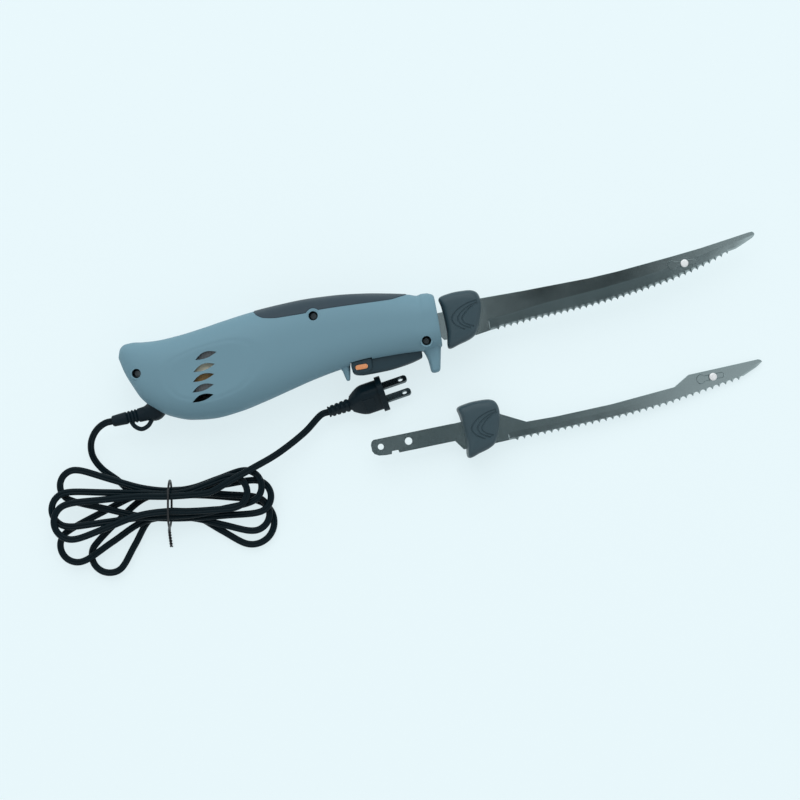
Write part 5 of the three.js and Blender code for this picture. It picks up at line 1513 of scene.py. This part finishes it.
@dataclass(frozen=True)
class TriggerGroup:
    """Long trigger with a rounded lobe behind it that holds the cross-bolt lock.

    Attributes:
        rows: X, upper edge, lower edge and half width along the trigger.
        lobe: Outline of the lobe.
        lobe_half: Half width of the lobe.
        lock: Middle of the lock.
        lock_size: Length and height of the lock.
        lock_ends: Lower and upper end of the lock across the handle.
        clearance: Gap round the lock.
    """

    rows: tuple[tuple[float, float, float, float], ...] = (
        (-14.1, -13.5, -20.6, 6.2), (-14.5, -12.6, -21.7, 7.1), (-16.5, -12.3, -22.6, 7.5),
        (-27.0, -12.8, -25.0, 7.5), (-40.0, -13.7, -26.4, 7.5), (-54.0, -14.7, -26.6, 7.5),
        (-59.0, -15.1, -25.8, 7.4), (-61.0, -15.6, -24.7, 6.9), (-61.8, -16.6, -23.0, 5.6))
    lobe: tuple[tuple[float, float], ...] = (
        (-47.95, -19.0), (-48.3, -22.6), (-50.6, -24.4), (-54.5, -24.9), (-59.4, -24.3), (-61.6, -22.0),
        (-61.9, -18.4), (-60.9, -15.9), (-55.0, -15.6), (-49.0, -15.6), (-48.0, -16.4))
    lobe_half: float = 9.5
    lock: tuple[float, float] = (-55.2, -20.8)
    lock_size: tuple[float, float] = (8.4, 3.2)
    lock_ends: tuple[float, float] = (-7.3, 10.3)
    clearance: float = 0.12

    def oval(self, grow: float) -> Array:
        """Outline of the lock: a bar with round ends.

        Args:
            grow: How far outside the lock.

        Returns:
            Points, two numbers per line.
        """
        radius = self.lock_size[1] / 2.0 + grow
        ring = super_ring(48, 2.0) * radius
        ring[:, 0] += np.sign(ring[:, 0]) * (self.lock_size[0] - self.lock_size[1]) / 2.0
        return ring + np.array(self.lock)

    def build(self) -> None:
        """Makes the trigger and its lock."""
        rows = np.array(self.rows)
        x = np.concatenate([np.linspace(-61.8, -58.0, 16)[:-1], np.linspace(-58.0, -17.0, 50)[:-1],
                            np.linspace(-17.0, -14.1, 14)])
        order = rows[::-1]
        upper, lower, half = (monotone(order[:, 0], order[:, k], x) for k in (1, 2, 3))
        ring = super_ring(56, 3.6)
        points = np.stack([
            np.broadcast_to(x[:, None], (len(x), len(ring))),
            (upper + lower)[:, None] / 2.0 + (upper - lower)[:, None] / 2.0 * ring[None, :, 0],
            half[:, None] * ring[None, :, 1]], axis=-1)
        outline = spaced(self.lobe, 72, closed=True)
        centre = outline.mean(axis=0)
        z = self.lobe_half
        levels = [(-z, 0.86), (-z + 0.25, 0.94), (-z + 1.0, 1.0), (z - 1.0, 1.0), (z - 0.25, 0.94), (z, 0.86)]
        lobe = domed(outline, centre, levels)
        mount = Mount("trigger_lever", "black_plastic", ("trigger",))
        hole = prism(self.oval(self.clearance), -30.0, 30.0)
        add_piece("trigger_bar", loft(points), TRIGGER_BLACK, mount, [hole])
        add_piece("trigger_lobe", lobe, TRIGGER_BLACK, Mount("trigger_lever", "black_plastic"), [hole])
        oval = self.oval(0.0)
        middle = np.array(self.lock)
        low, high = self.lock_ends
        steps = [(low, 0.8), (low + 0.2, 0.92), (low + 0.6, 1.0), (high - 0.4, 1.0), (high - 0.1, 0.97),
                 (high, 0.9)]
        bolt = domed(oval, middle, steps)
        add_piece("lock_bolt_oval", bolt, ORANGE, Mount("lock_bolt", "orange_plastic", ("trigger_lock",)))


# Blades


@dataclass(frozen=True)
class BladeSet:
    """Pair of toothed blades on a rivet, each with half of a plastic blade guard on its heel.

    Attributes:
        place: Frame that the set is drawn in.
        nodes: CAD names of the two blades, the two guards and the rivet.
        bodies: CAD bodies of the two halves and of the rivet.
        top: Spine from the tang to the tip, X and Y.
        bottom: Lower edge from the tang to the tip, X and Y.
        grind: Line where the flat grind begins, X and Y.
        teeth: First and last X of the teeth.
        pitch: Distance between teeth.
        tooth: Depth of a tooth.
        rivet: Middle of the rivet.
        drop: How much the flat grind thins the blade.
        THICK: Thickness of a blade.
        SPACE: Half of the space between the blades.
        FACET_DROP: How much more the facet at the teeth thins the blade.
        TIP_SHARE: Share of a tooth's depth that stands out of the edge line.
        TOOTH_POWER: Roundness of the gullets between the teeth.
        FLAT_ROWS: Shares of the way from the spine to the grind line.
        GRIND_ROWS: Shares of the way from the grind line to the edge.
        GRIND_LIMITS: Shares of the blade's height that the grind line keeps from the edge and from the spine.
        SLOT_FRONT: Middle ahead of the rivet and radius of the slot's front end.
        SLOT_REAR: Middle ahead of the rivet and radius of the slot's rear hole.
        PLUNGE: X where the grind begins, and where it has its full depth.
        TANG_HOLES: X, Y and radius of the holes in the tang.
        STEM_HOLE: Radius of the plain hole for the rivet's stem.
        GUARD: Outline of the blade guard.
        GUARD_CENTRE: Middle that the guard's dome draws in to.
        GUARD_LEVELS: Height and share of the outline, from the guard's rim to its crown.
        ARCS: Middles of the shallow grooves on the guard.
        GROOVE: Radius of a groove.
        POCKET: Ends along X, Y and Z of the guard's room for the blade.
        RIVET_HEAD: Radius and height of a rivet head, from its rim to its crown.
        STEM: Radius and half length of the rivet's stem.
    """

    place: Place
    nodes: tuple[str, str, str, str, str]
    bodies: tuple[str, str, str]
    top: tuple[tuple[float, float], ...]
    bottom: tuple[tuple[float, float], ...]
    grind: tuple[tuple[float, float], ...]
    teeth: tuple[float, float]
    pitch: float
    tooth: float
    rivet: tuple[float, float]
    drop: float

    THICK = 1.0
    SPACE = 0.15
    FACET_DROP = 0.12
    TIP_SHARE = 0.6
    TOOTH_POWER = 0.7
    FLAT_ROWS = (0.0, 0.015, 0.2, 0.45, 0.7, 0.9, 0.99)
    GRIND_ROWS = (0.015, 0.12, 0.28, 0.45, 0.6, 0.72, 0.8)
    GRIND_LIMITS = (0.12, 0.05)
    SLOT_FRONT = (6.2, 1.6)
    SLOT_REAR = (-8.2, 2.9)
    PLUNGE = (33.2, 33.6)
    TANG_HOLES = ((-52.3, 0.4, 2.0), (-33.3, 0.4, 2.5))
    STEM_HOLE = 1.6
    GUARD = ((3.0, 15.2), (10.0, 17.3), (19.0, 17.6), (25.6, 16.8), (28.6, 14.9), (30.1, 11.2), (30.0, 5.0),
             (28.4, -1.0), (26.2, -7.4), (23.2, -12.6), (19.5, -15.0), (12.0, -17.2), (4.0, -18.8), (4.6, -8.7),
             (4.4, 1.7), (3.7, 10.0))
    GUARD_CENTRE = (16.0, 0.0)
    GUARD_LEVELS = ((0.15, 1.0), (4.0, 0.998), (7.0, 0.985), (8.8, 0.95), (10.0, 0.88), (10.6, 0.8),
                    (10.9, 0.68), (11.0, 0.45), (11.05, 0.02))
    GROOVE = 0.55
    POCKET = ((-5.0, 40.0), (-13.6, 11.4), (-1.0, 1.45))
    RIVET_HEAD = ((2.6, 1.45), (2.6, 1.72), (2.35, 1.98), (1.7, 2.14), (0.6, 2.2))
    STEM = (1.3, 1.5)
    ARCS = (((27.4, 9.6), (20.4, 8.3), (12.7, 4.6), (9.0, 0.2), (10.4, -3.9), (14.2, -7.0), (16.6, -8.3)),
            ((27.6, 8.1), (21.6, 6.5), (15.5, 2.9), (13.0, -0.5), (14.3, -4.2), (18.4, -7.1), (20.6, -7.9)),
            ((27.5, 7.7), (22.2, 5.3), (18.1, 2.1), (15.8, -1.0), (17.4, -4.4), (22.7, -7.2)))

    def rows(self) -> Array:
        """Places along the blade that catch every corner and every tooth.

        Returns:
            Rising X.
        """
        ends = np.array(self.top)[[0, -1], 0]
        corners = np.concatenate([np.array(self.top)[:, 0], np.array(self.bottom)[:, 0], self.PLUNGE])
        teeth = np.arange(self.teeth[0], self.teeth[1], self.pitch / 10.0)
        return np.unique(np.round(np.concatenate([np.linspace(*ends, 170), corners, teeth]), 3))

    def blade(self) -> Shape:
        """One blade at positive Z: flat to the grind line, then thinning to a narrow facet at the edge.

        Teeth are cusps: depth times the tips' share less the absolute sine, to a power, of pi times the place
        in pitches. Only the facet follows them, and the grind above it stays plane.

        Returns:
            The blade.
        """
        x = self.rows()
        top, bottom, grind = (np.array(v) for v in (self.top, self.bottom, self.grind))
        spine = np.interp(x, top[:, 0], top[:, 1])
        edge = np.interp(x, bottom[:, 0], bottom[:, 1])
        phase = (x - self.teeth[0]) / self.pitch
        inside = (x >= self.teeth[0]) & (x <= self.teeth[1])
        gullets = np.abs(np.sin(math.pi * phase)) ** self.TOOTH_POWER
        cusps = np.where(inside, self.tooth * (self.TIP_SHARE - gullets), 0.0)
        line = np.interp(x, grind[:, 0], grind[:, 1])
        low, high = self.GRIND_LIMITS
        line = np.clip(line, edge + low * (spine - edge), spine - high * (spine - edge))
        flat, slope = np.array(self.FLAT_ROWS), np.array(self.GRIND_ROWS)
        y = np.hstack([spine[:, None] + flat * (line - spine)[:, None],
                       line[:, None] + slope * (edge - line)[:, None], (edge - cusps)[:, None]])
        ground = smooth_step(x, *self.PLUNGE)
        face = self.SPACE + self.THICK
        drop = np.concatenate([
            [self.FACET_DROP], np.zeros(len(flat) - 1), slope * self.drop, [self.drop + self.FACET_DROP]])
        plain = np.arange(y.shape[1])[None] < len(flat)
        upper = face - np.where(plain, drop[None], drop[None] * ground[:, None])
        across = np.broadcast_to(x[:, None], y.shape)
        back = np.stack([across, y, np.full_like(y, self.SPACE)], axis=-1)
        return slab(np.stack([across, y, upper], axis=-1), back)

    def guard_height(self, points: Array) -> Array:
        """Height of the guard's dome over points of its face.

        Args:
            points: X and Y, one per line.

        Returns:
            Z at those points.
        """
        centre = np.array(self.GUARD_CENTRE)
        outline = spaced(self.GUARD, 240, closed=True) - centre
        around = np.arctan2(outline[:, 1], outline[:, 0])
        order = np.argsort(around)
        away = points - centre
        reach = np.linalg.norm(outline, axis=1)
        rim = np.interp(np.arctan2(away[:, 1], away[:, 0]), around[order], reach[order], period=2.0 * math.pi)
        levels = np.array(self.GUARD_LEVELS)[::-1]
        return np.interp(np.linalg.norm(away, axis=1) / rim, levels[:, 1], levels[:, 0])

    def guard(self) -> tuple[Shape, list[Shape]]:
        """Half of the guard at positive Z, and what is cut out of it.

        Returns:
            The domed cap, and the grooves and the blade's pocket.
        """
        centre = np.array(self.GUARD_CENTRE)
        outline = spaced(self.GUARD, 160, closed=True)
        grooves = []
        for arc in self.ARCS:
            line = spaced(arc, 70)
            path = np.hstack([line, self.guard_height(line)[:, None]])
            grooves.append(tube(path, super_ring(10, 2.0) * self.GROOVE))
        pocket = box(*self.POCKET)
        return domed(outline, centre, self.GUARD_LEVELS), [*grooves, pocket]

    def keyhole(self, grow: float) -> Array:
        """Outline of the rivet's slot: a bar with a round front end and a wider round hole at its rear.

        Args:
            grow: How far outside the slot.

        Returns:
            Points, two numbers per line.
        """
        (front, narrow), (rear, wide) = self.SLOT_FRONT, self.SLOT_REAR
        narrow, wide = narrow + grow, wide + grow
        mouth = math.asin(narrow / wide)
        ends = [(front, narrow, np.linspace(-math.pi / 2.0, math.pi / 2.0, 20)),
                (rear, wide, np.linspace(mouth, 2.0 * math.pi - mouth, 40))]
        rim = [np.column_stack([x + r * np.cos(angle), r * np.sin(angle)]) for x, r, angle in ends]
        return np.vstack(rim) + np.array(self.rivet)

    def slot_tools(self) -> list[Shape]:
        """What is cut out of the upper blade at the rivet.

        Returns:
            The slot and the chamfer round it.
        """
        face = self.SPACE + self.THICK
        levels = [(0.0, face - 0.4), (0.55, face + 0.15)]
        chamfer = loft(np.stack([np.hstack([self.keyhole(g), np.full((60, 1), z)]) for g, z in levels]))
        return [prism(self.keyhole(0.0), -5.0, 5.0), chamfer]

    def rivet_shape(self) -> Shape:
        """Rivet with a low domed head on each side.

        Returns:
            The rivet.
        """
        ring = super_ring(40, 2.0)
        head = loft(np.stack([np.hstack([ring * r, np.full((40, 1), z)]) for r, z in self.RIVET_HEAD]))
        radius, half = self.STEM
        stem = round_bar(0.0, 0.0, radius, -half, half)
        return (stem + head + head.turned(np.diag([1.0, 1.0, -1.0]))).moved([*self.rivet, 0.0])

    def build(self) -> None:
        """Makes both blades, both guard halves and the rivet."""
        rx, ry = self.rivet
        holes = [round_bar(x, y, radius, -5.0, 5.0) for x, y, radius in self.TANG_HOLES]
        hole = [round_bar(rx, ry, self.STEM_HOLE, -5.0, 5.0)]
        cap, cuts = self.guard()
        for index, side in enumerate(Side):
            blade_node, guard_node = self.nodes[index], self.nodes[2 + index]
            body = self.bodies[index]
            through = holes + (self.slot_tools() if side is Side.LEFT else hole)
            add_piece(f"{blade_node}_ground", self.blade().on(side), BLADE,
                      Mount(body, "blade_steel", (blade_node,), self.place), through, sharp=12.0)
            add_piece(f"{guard_node}_cap", cap.on(side), CHARCOAL,
                      Mount(body, "charcoal_plastic", (guard_node,), self.place),
                      [cut.on(side) for cut in cuts], sharp=34.0)
        # The rivet's finish is partly a painted highlight: its near-white matt part stands in for reflected
        # light.
        add_piece(f"{self.nodes[4]}_domed", self.rivet_shape(), RIVET_STEEL_AND_HIGHLIGHT,
                  Mount(self.bodies[2], "bright_steel", (self.nodes[4],), self.place))


TANG_TOP = ((-58.6, 2.7), (-57.9, 4.7), (-56.3, 5.9), (4.0, 5.9))
TANG_BOTTOM = ((-58.6, -1.4), (-57.4, -3.6), (-54.6, -5.2), (-50.0, -5.8), (-46.0, -5.9), (-45.5, -4.0),
               (-41.3, -4.0), (-40.8, -5.9), (-2.6, -5.9), (2.0, -12.6))
FITTED = BladeSet(
    Place.KNIFE, ("blade_left", "blade_right", "blade_guard_left", "blade_guard_right", "blade_rivet"),
    ("left_blade_set", "right_blade_set", "right_blade_set"),
    TANG_TOP + ((9.0, 10.8), (60.0, 10.7), (104.0, 11.3), (122.8, 12.4), (142.2, 14.2), (161.4, 16.0),
                (180.8, 18.1), (200.4, 20.9), (214.0, 22.9), (216.4, 23.0), (217.3, 22.4), (217.9, 21.1)),
    TANG_BOTTOM + ((24.0, -13.0), (33.0, -11.6), (39.0, -10.9), (64.0, -9.0), (81.2, -8.1), (100.4, -6.9),
                   (119.7, -5.1), (139.2, -2.4), (158.8, 0.8), (173.7, 4.4), (186.7, 8.3), (199.0, 12.7),
                   (204.0, 13.6), (211.0, 16.6), (215.6, 18.8), (217.2, 19.8), (217.9, 21.0)),
    ((34.1, -4.3), (47.9, -3.2), (61.4, -1.3), (73.4, 0.1), (110.2, 3.0), (140.8, 6.3), (151.7, 7.8),
     (217.9, 21.0)),
    (39.0, 199.0), 4.3, 1.9, (168.5, 10.0), 0.55)
SPARE = BladeSet(
    Place.SPARE,
    ("spare_blade_upper", "spare_blade_lower", "spare_guard_upper", "spare_guard_lower", "spare_rivet"),
    ("spare_upper_set", "spare_lower_set", "spare_lower_set"),
    TANG_TOP + ((9.0, 9.5), (26.0, 9.5), (31.0, 5.7), (47.0, -2.8), (67.0, -3.4), (106.0, -2.9),
                (150.0, -0.2), (161.0, 6.0), (209.5, 6.8), (211.2, 6.0), (211.8, 4.9)),
    TANG_BOTTOM + ((24.0, -12.8), (33.0, -12.6), (39.0, -12.6), (91.0, -12.4), (117.0, -11.7), (143.0, -9.9),
                   (170.0, -6.3), (196.0, -2.8), (207.0, 1.7), (211.0, 4.2), (211.8, 4.8)),
    ((34.1, -7.4), (67.0, -7.8), (106.0, -7.2), (150.0, -4.2), (175.0, -1.4), (211.8, 4.85)),
    (39.0, 196.0), 4.7, 2.1, (177.0, 1.4), 0.16)


# Inner works, stage and light


class InnerWorks:
    """Motor, gear drive, switch and wires: CAD nodes that keep their shape and get their finish.

    Attributes:
        FINISHES: CAD nodes by finish.
        PADS: Name, ends along Y, ends along Z, finish and material slot of each pad on the field core.
        PAD_X: Ends of the pads along X.
    """

    FINISHES: dict[Finish, tuple[str, ...]] = {
        NYLON: ("nose_bush", "rear_bracket", "crank_gear", "carrier_left", "carrier_right", "switch_plunger",
                "neutral_wire"),
        CARBON: ("brush_left", "brush_right", "switch_body", "cooling_fan", "supply_wire", "motor_wire"),
        LAMINATED: ("field_core", "armature_core"),
        WOUND: ("field_coil_upper", "field_coil_lower", "armature_winding"),
        BARS: ("commutator",),
        BRONZE: ("front_bearing", "rear_bearing"),
        BRASS: ("brush_holder_left", "brush_holder_right"),
        FRAME_METAL: ("gear_frame",),
        BRIGHT: ("gear_axle", "motor_shaft", "blade_latch_left", "blade_latch_right", "trigger_pin",
                 "trigger_spring"),
    }

    PADS: tuple[tuple[str, tuple[float, float], tuple[float, float], Finish, str], ...] = (
        ("coil_paper", (-7.4, -0.4), (16.5, 17.4), PAPER, "white_nylon"),
        ("coil_lacing", (-13.6, -7.6), (16.5, 17.4), LACING, "copper_winding"),
        ("air_baffle", (-29.0, -22.0), (7.0, 8.0), CARBON, "black_plastic"))
    PAD_X = (-171.0, -143.0)

    def pads(self) -> None:
        """Makes the paper and the lacing on both broad faces of the field core, and the baffles below it."""
        for name, y, z, finish, slot in self.PADS:
            shape = box(self.PAD_X, y, z)
            for side in Side:
                mount = Mount("handle", slot)
                add_piece(f"{name}_{side.name.lower()}", shape.on(side), finish, mount, bevel=0.3)

    def dress(self, nodes: dict[str, bpy.types.Object]) -> None:
        """Gives each node its finish.

        Args:
            nodes: CAD nodes by name.
        """
        for finish, names in self.FINISHES.items():
            for name in names:
                for slot in nodes[name].material_slots:
                    slot.material = finish.material()


@dataclass(frozen=True)
class Studio:
    """Pale floor, soft light and a camera straight above.

    Attributes:
        centre: Picture's middle in the row frame, in metres.
        roll: Turn of the picture in radians.
        height: Height of the camera.
        span: Width of the picture at the knife's middle.
        level: Height of the knife's middle.
        sensor: Sensor width in millimetres.
        floor: Linear colour of the floor.
        backdrop: Linear colour that the floor shows where it is seen.
        glow: Share of the even backdrop in what is seen of the floor; the rest is lit and keeps the shadow.
        sky: Strength of the light from all round.
        cards: Overhead cards that the blades mirror: ends along X, ends along Y, height and grey.
        lamps: Name, place in metres, side of the square, watts, and whether shiny faces mirror the lamp.
        half_floor: Half the side of the floor.
        sky_tint: Linear colour of the light from all round.
    """

    centre: tuple[float, float] = (-0.0307, -0.0153)
    roll: float = math.radians(-10.0)
    height: float = 1.5
    span: float = 0.5336
    level: float = 0.022
    sensor: float = 36.0
    floor: Colour = (0.86, 0.96, 0.985)
    backdrop: Colour = srgb(233, 248, 252)
    glow: float = 0.8
    sky: float = 0.62
    cards: tuple[tuple[float, float, float, float, float, float], ...] = (
        (-0.3, 0.62, -0.17, 0.0, 2.2, 0.2), (0.09, 0.5, 0.0, 0.5, 2.2, 0.09),
        (0.19, 0.36, 0.0, 0.5, 2.19, 0.01), (0.05, 0.62, -0.5, -0.17, 2.2, 0.12))
    lamps: tuple[tuple[str, tuple[float, float, float], float, float, bool], ...] = (
        ("key_lamp", (0.15, 4.0, 4.0), 6.0, 150.0, False), ("sheen_lamp", (0.15, 4.2, 4.2), 6.0, 72.0, True),
        ("fill_lamp", (0.9, -0.9, 1.4), 1.2, 1.0, True))
    half_floor: float = 4.0
    sky_tint: Colour = (0.94, 0.98, 1.0)

    def camera(self) -> None:
        """Makes the camera, rolled so that the knife points up to the right."""
        data = bpy.data.cameras.new("photo_camera")
        data.sensor_width = self.sensor
        data.lens = self.sensor * (self.height - self.level) / self.span
        eye = bpy.data.objects.new("photo_camera", data)
        eye.location = (*self.centre, self.height)
        eye.rotation_euler = (0.0, 0.0, self.roll)
        bpy.context.scene.collection.objects.link(eye)
        bpy.context.scene.camera = eye

    def lamp(self, name: str, at: Sequence[float], size: float, power: float, mirrored: bool) -> None:
        """Adds a square soft lamp that looks at the object.

        Args:
            name: Lamp name.
            at: Place in metres.
            size: Side of the square in metres.
            power: Power in watts.
            mirrored: Whether shiny faces mirror the lamp.
        """
        data = bpy.data.lights.new(name, "AREA")
        data.size = size
        data.energy = power
        lamp = bpy.data.objects.new(name, data)
        lamp.location = at
        lamp.visible_glossy = mirrored
        away = np.array(at)
        lamp.rotation_euler = (math.atan2(math.hypot(away[0], away[1]), away[2]), 0.0,
                               math.atan2(away[0], -away[1]))
        bpy.context.scene.collection.objects.link(lamp)

    def floor_material(self) -> bpy.types.Material:
        """Matt floor, shown to the camera and in reflections as an even backdrop under a faint shadow.

        Returns:
            The material.
        """
        made = bpy.data.materials.new("pale_floor")
        made.use_nodes = True
        graph = Graph(made.node_tree)
        matt = graph.add("ShaderNodeBsdfDiffuse", Color=(*self.floor, 1.0))
        even = graph.add("ShaderNodeEmission", Color=(*self.backdrop, 1.0), Strength=1.0)
        path = graph.add("ShaderNodeLightPath")
        seen = path.outputs["Is Camera Ray"]
        for word in ("Is Glossy Ray", "Is Transmission Ray"):
            either = graph.add("ShaderNodeMath", {"operation": "MAXIMUM"})
            graph.tree.links.new(seen, either.inputs[0])
            graph.tree.links.new(path.outputs[word], either.inputs[1])
            seen = either.outputs[0]
        share = graph.add("ShaderNodeMath", {"operation": "MULTIPLY"})
        graph.tree.links.new(seen, share.inputs[0])
        share.inputs[1].default_value = self.glow
        blend = graph.add("ShaderNodeMixShader", Fac=share.outputs[0])
        graph.tree.links.new(matt.outputs["BSDF"], blend.inputs[1])
        graph.tree.links.new(even.outputs["Emission"], blend.inputs[2])
        graph.add("ShaderNodeOutputMaterial", Surface=blend.outputs["Shader"])
        return made

    def build(self) -> None:
        """Makes the floor, the overhead cards, the world and the lamps."""
        plane = bpy.data.meshes.new("floor")
        square = np.array([[-1.0, -1.0, 0.0], [1.0, -1.0, 0.0], [1.0, 1.0, 0.0], [-1.0, 1.0, 0.0]])
        corners = self.half_floor * square
        plane.from_pydata(corners.tolist(), [], [[0, 1, 2, 3]])
        floor = bpy.data.objects.new("floor", plane)
        plane.materials.append(self.floor_material())
        staged = [floor]
        for number, (left, right, near, far, height, grey) in enumerate(self.cards):
            name = f"overhead_card_{number}"
            sheet = bpy.data.meshes.new(name)
            rim = [(left, near, height), (left, far, height), (right, far, height), (right, near, height)]
            sheet.from_pydata(rim, [], [[0, 1, 2, 3]])
            sheet.materials.append(Finish(name, (0.92 * grey, grey, 1.02 * grey), 0.9, depth=0.0).material())
            card = bpy.data.objects.new(name, sheet)
            card.visible_camera = False
            card.visible_shadow = False
            staged.append(card)
        for thing in staged:
            bpy.context.scene.collection.objects.link(thing)
        world = bpy.data.worlds.new("studio_sky")
        world.use_nodes = True
        graph = Graph(world.node_tree)
        sky = graph.add("ShaderNodeBackground", Color=(*self.sky_tint, 1.0), Strength=self.sky)
        graph.add("ShaderNodeOutputWorld", Surface=sky.outputs["Background"])
        bpy.context.scene.world = world
        for lamp in self.lamps:
            self.lamp(*lamp)
        bpy.context.scene.view_settings.view_transform = "Standard"


def main() -> None:
    """Builds the whole scene on the frame."""
    logging.basicConfig(level=logging.INFO, format="%(name)s: %(message)s")
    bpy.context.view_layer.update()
    studio = Studio()
    studio.camera()
    MainsLead().build(Plug().build())
    TwistTie().build()
    StrainRelief().build()
    Casing().build()
    SpineGrip().build()
    TriggerGroup().build()
    FITTED.build()
    SPARE.build()
    works = InnerWorks()
    works.pads()
    works.dress(frame["nodes"])
    studio.build()


if __name__ == "__main__":
    main()
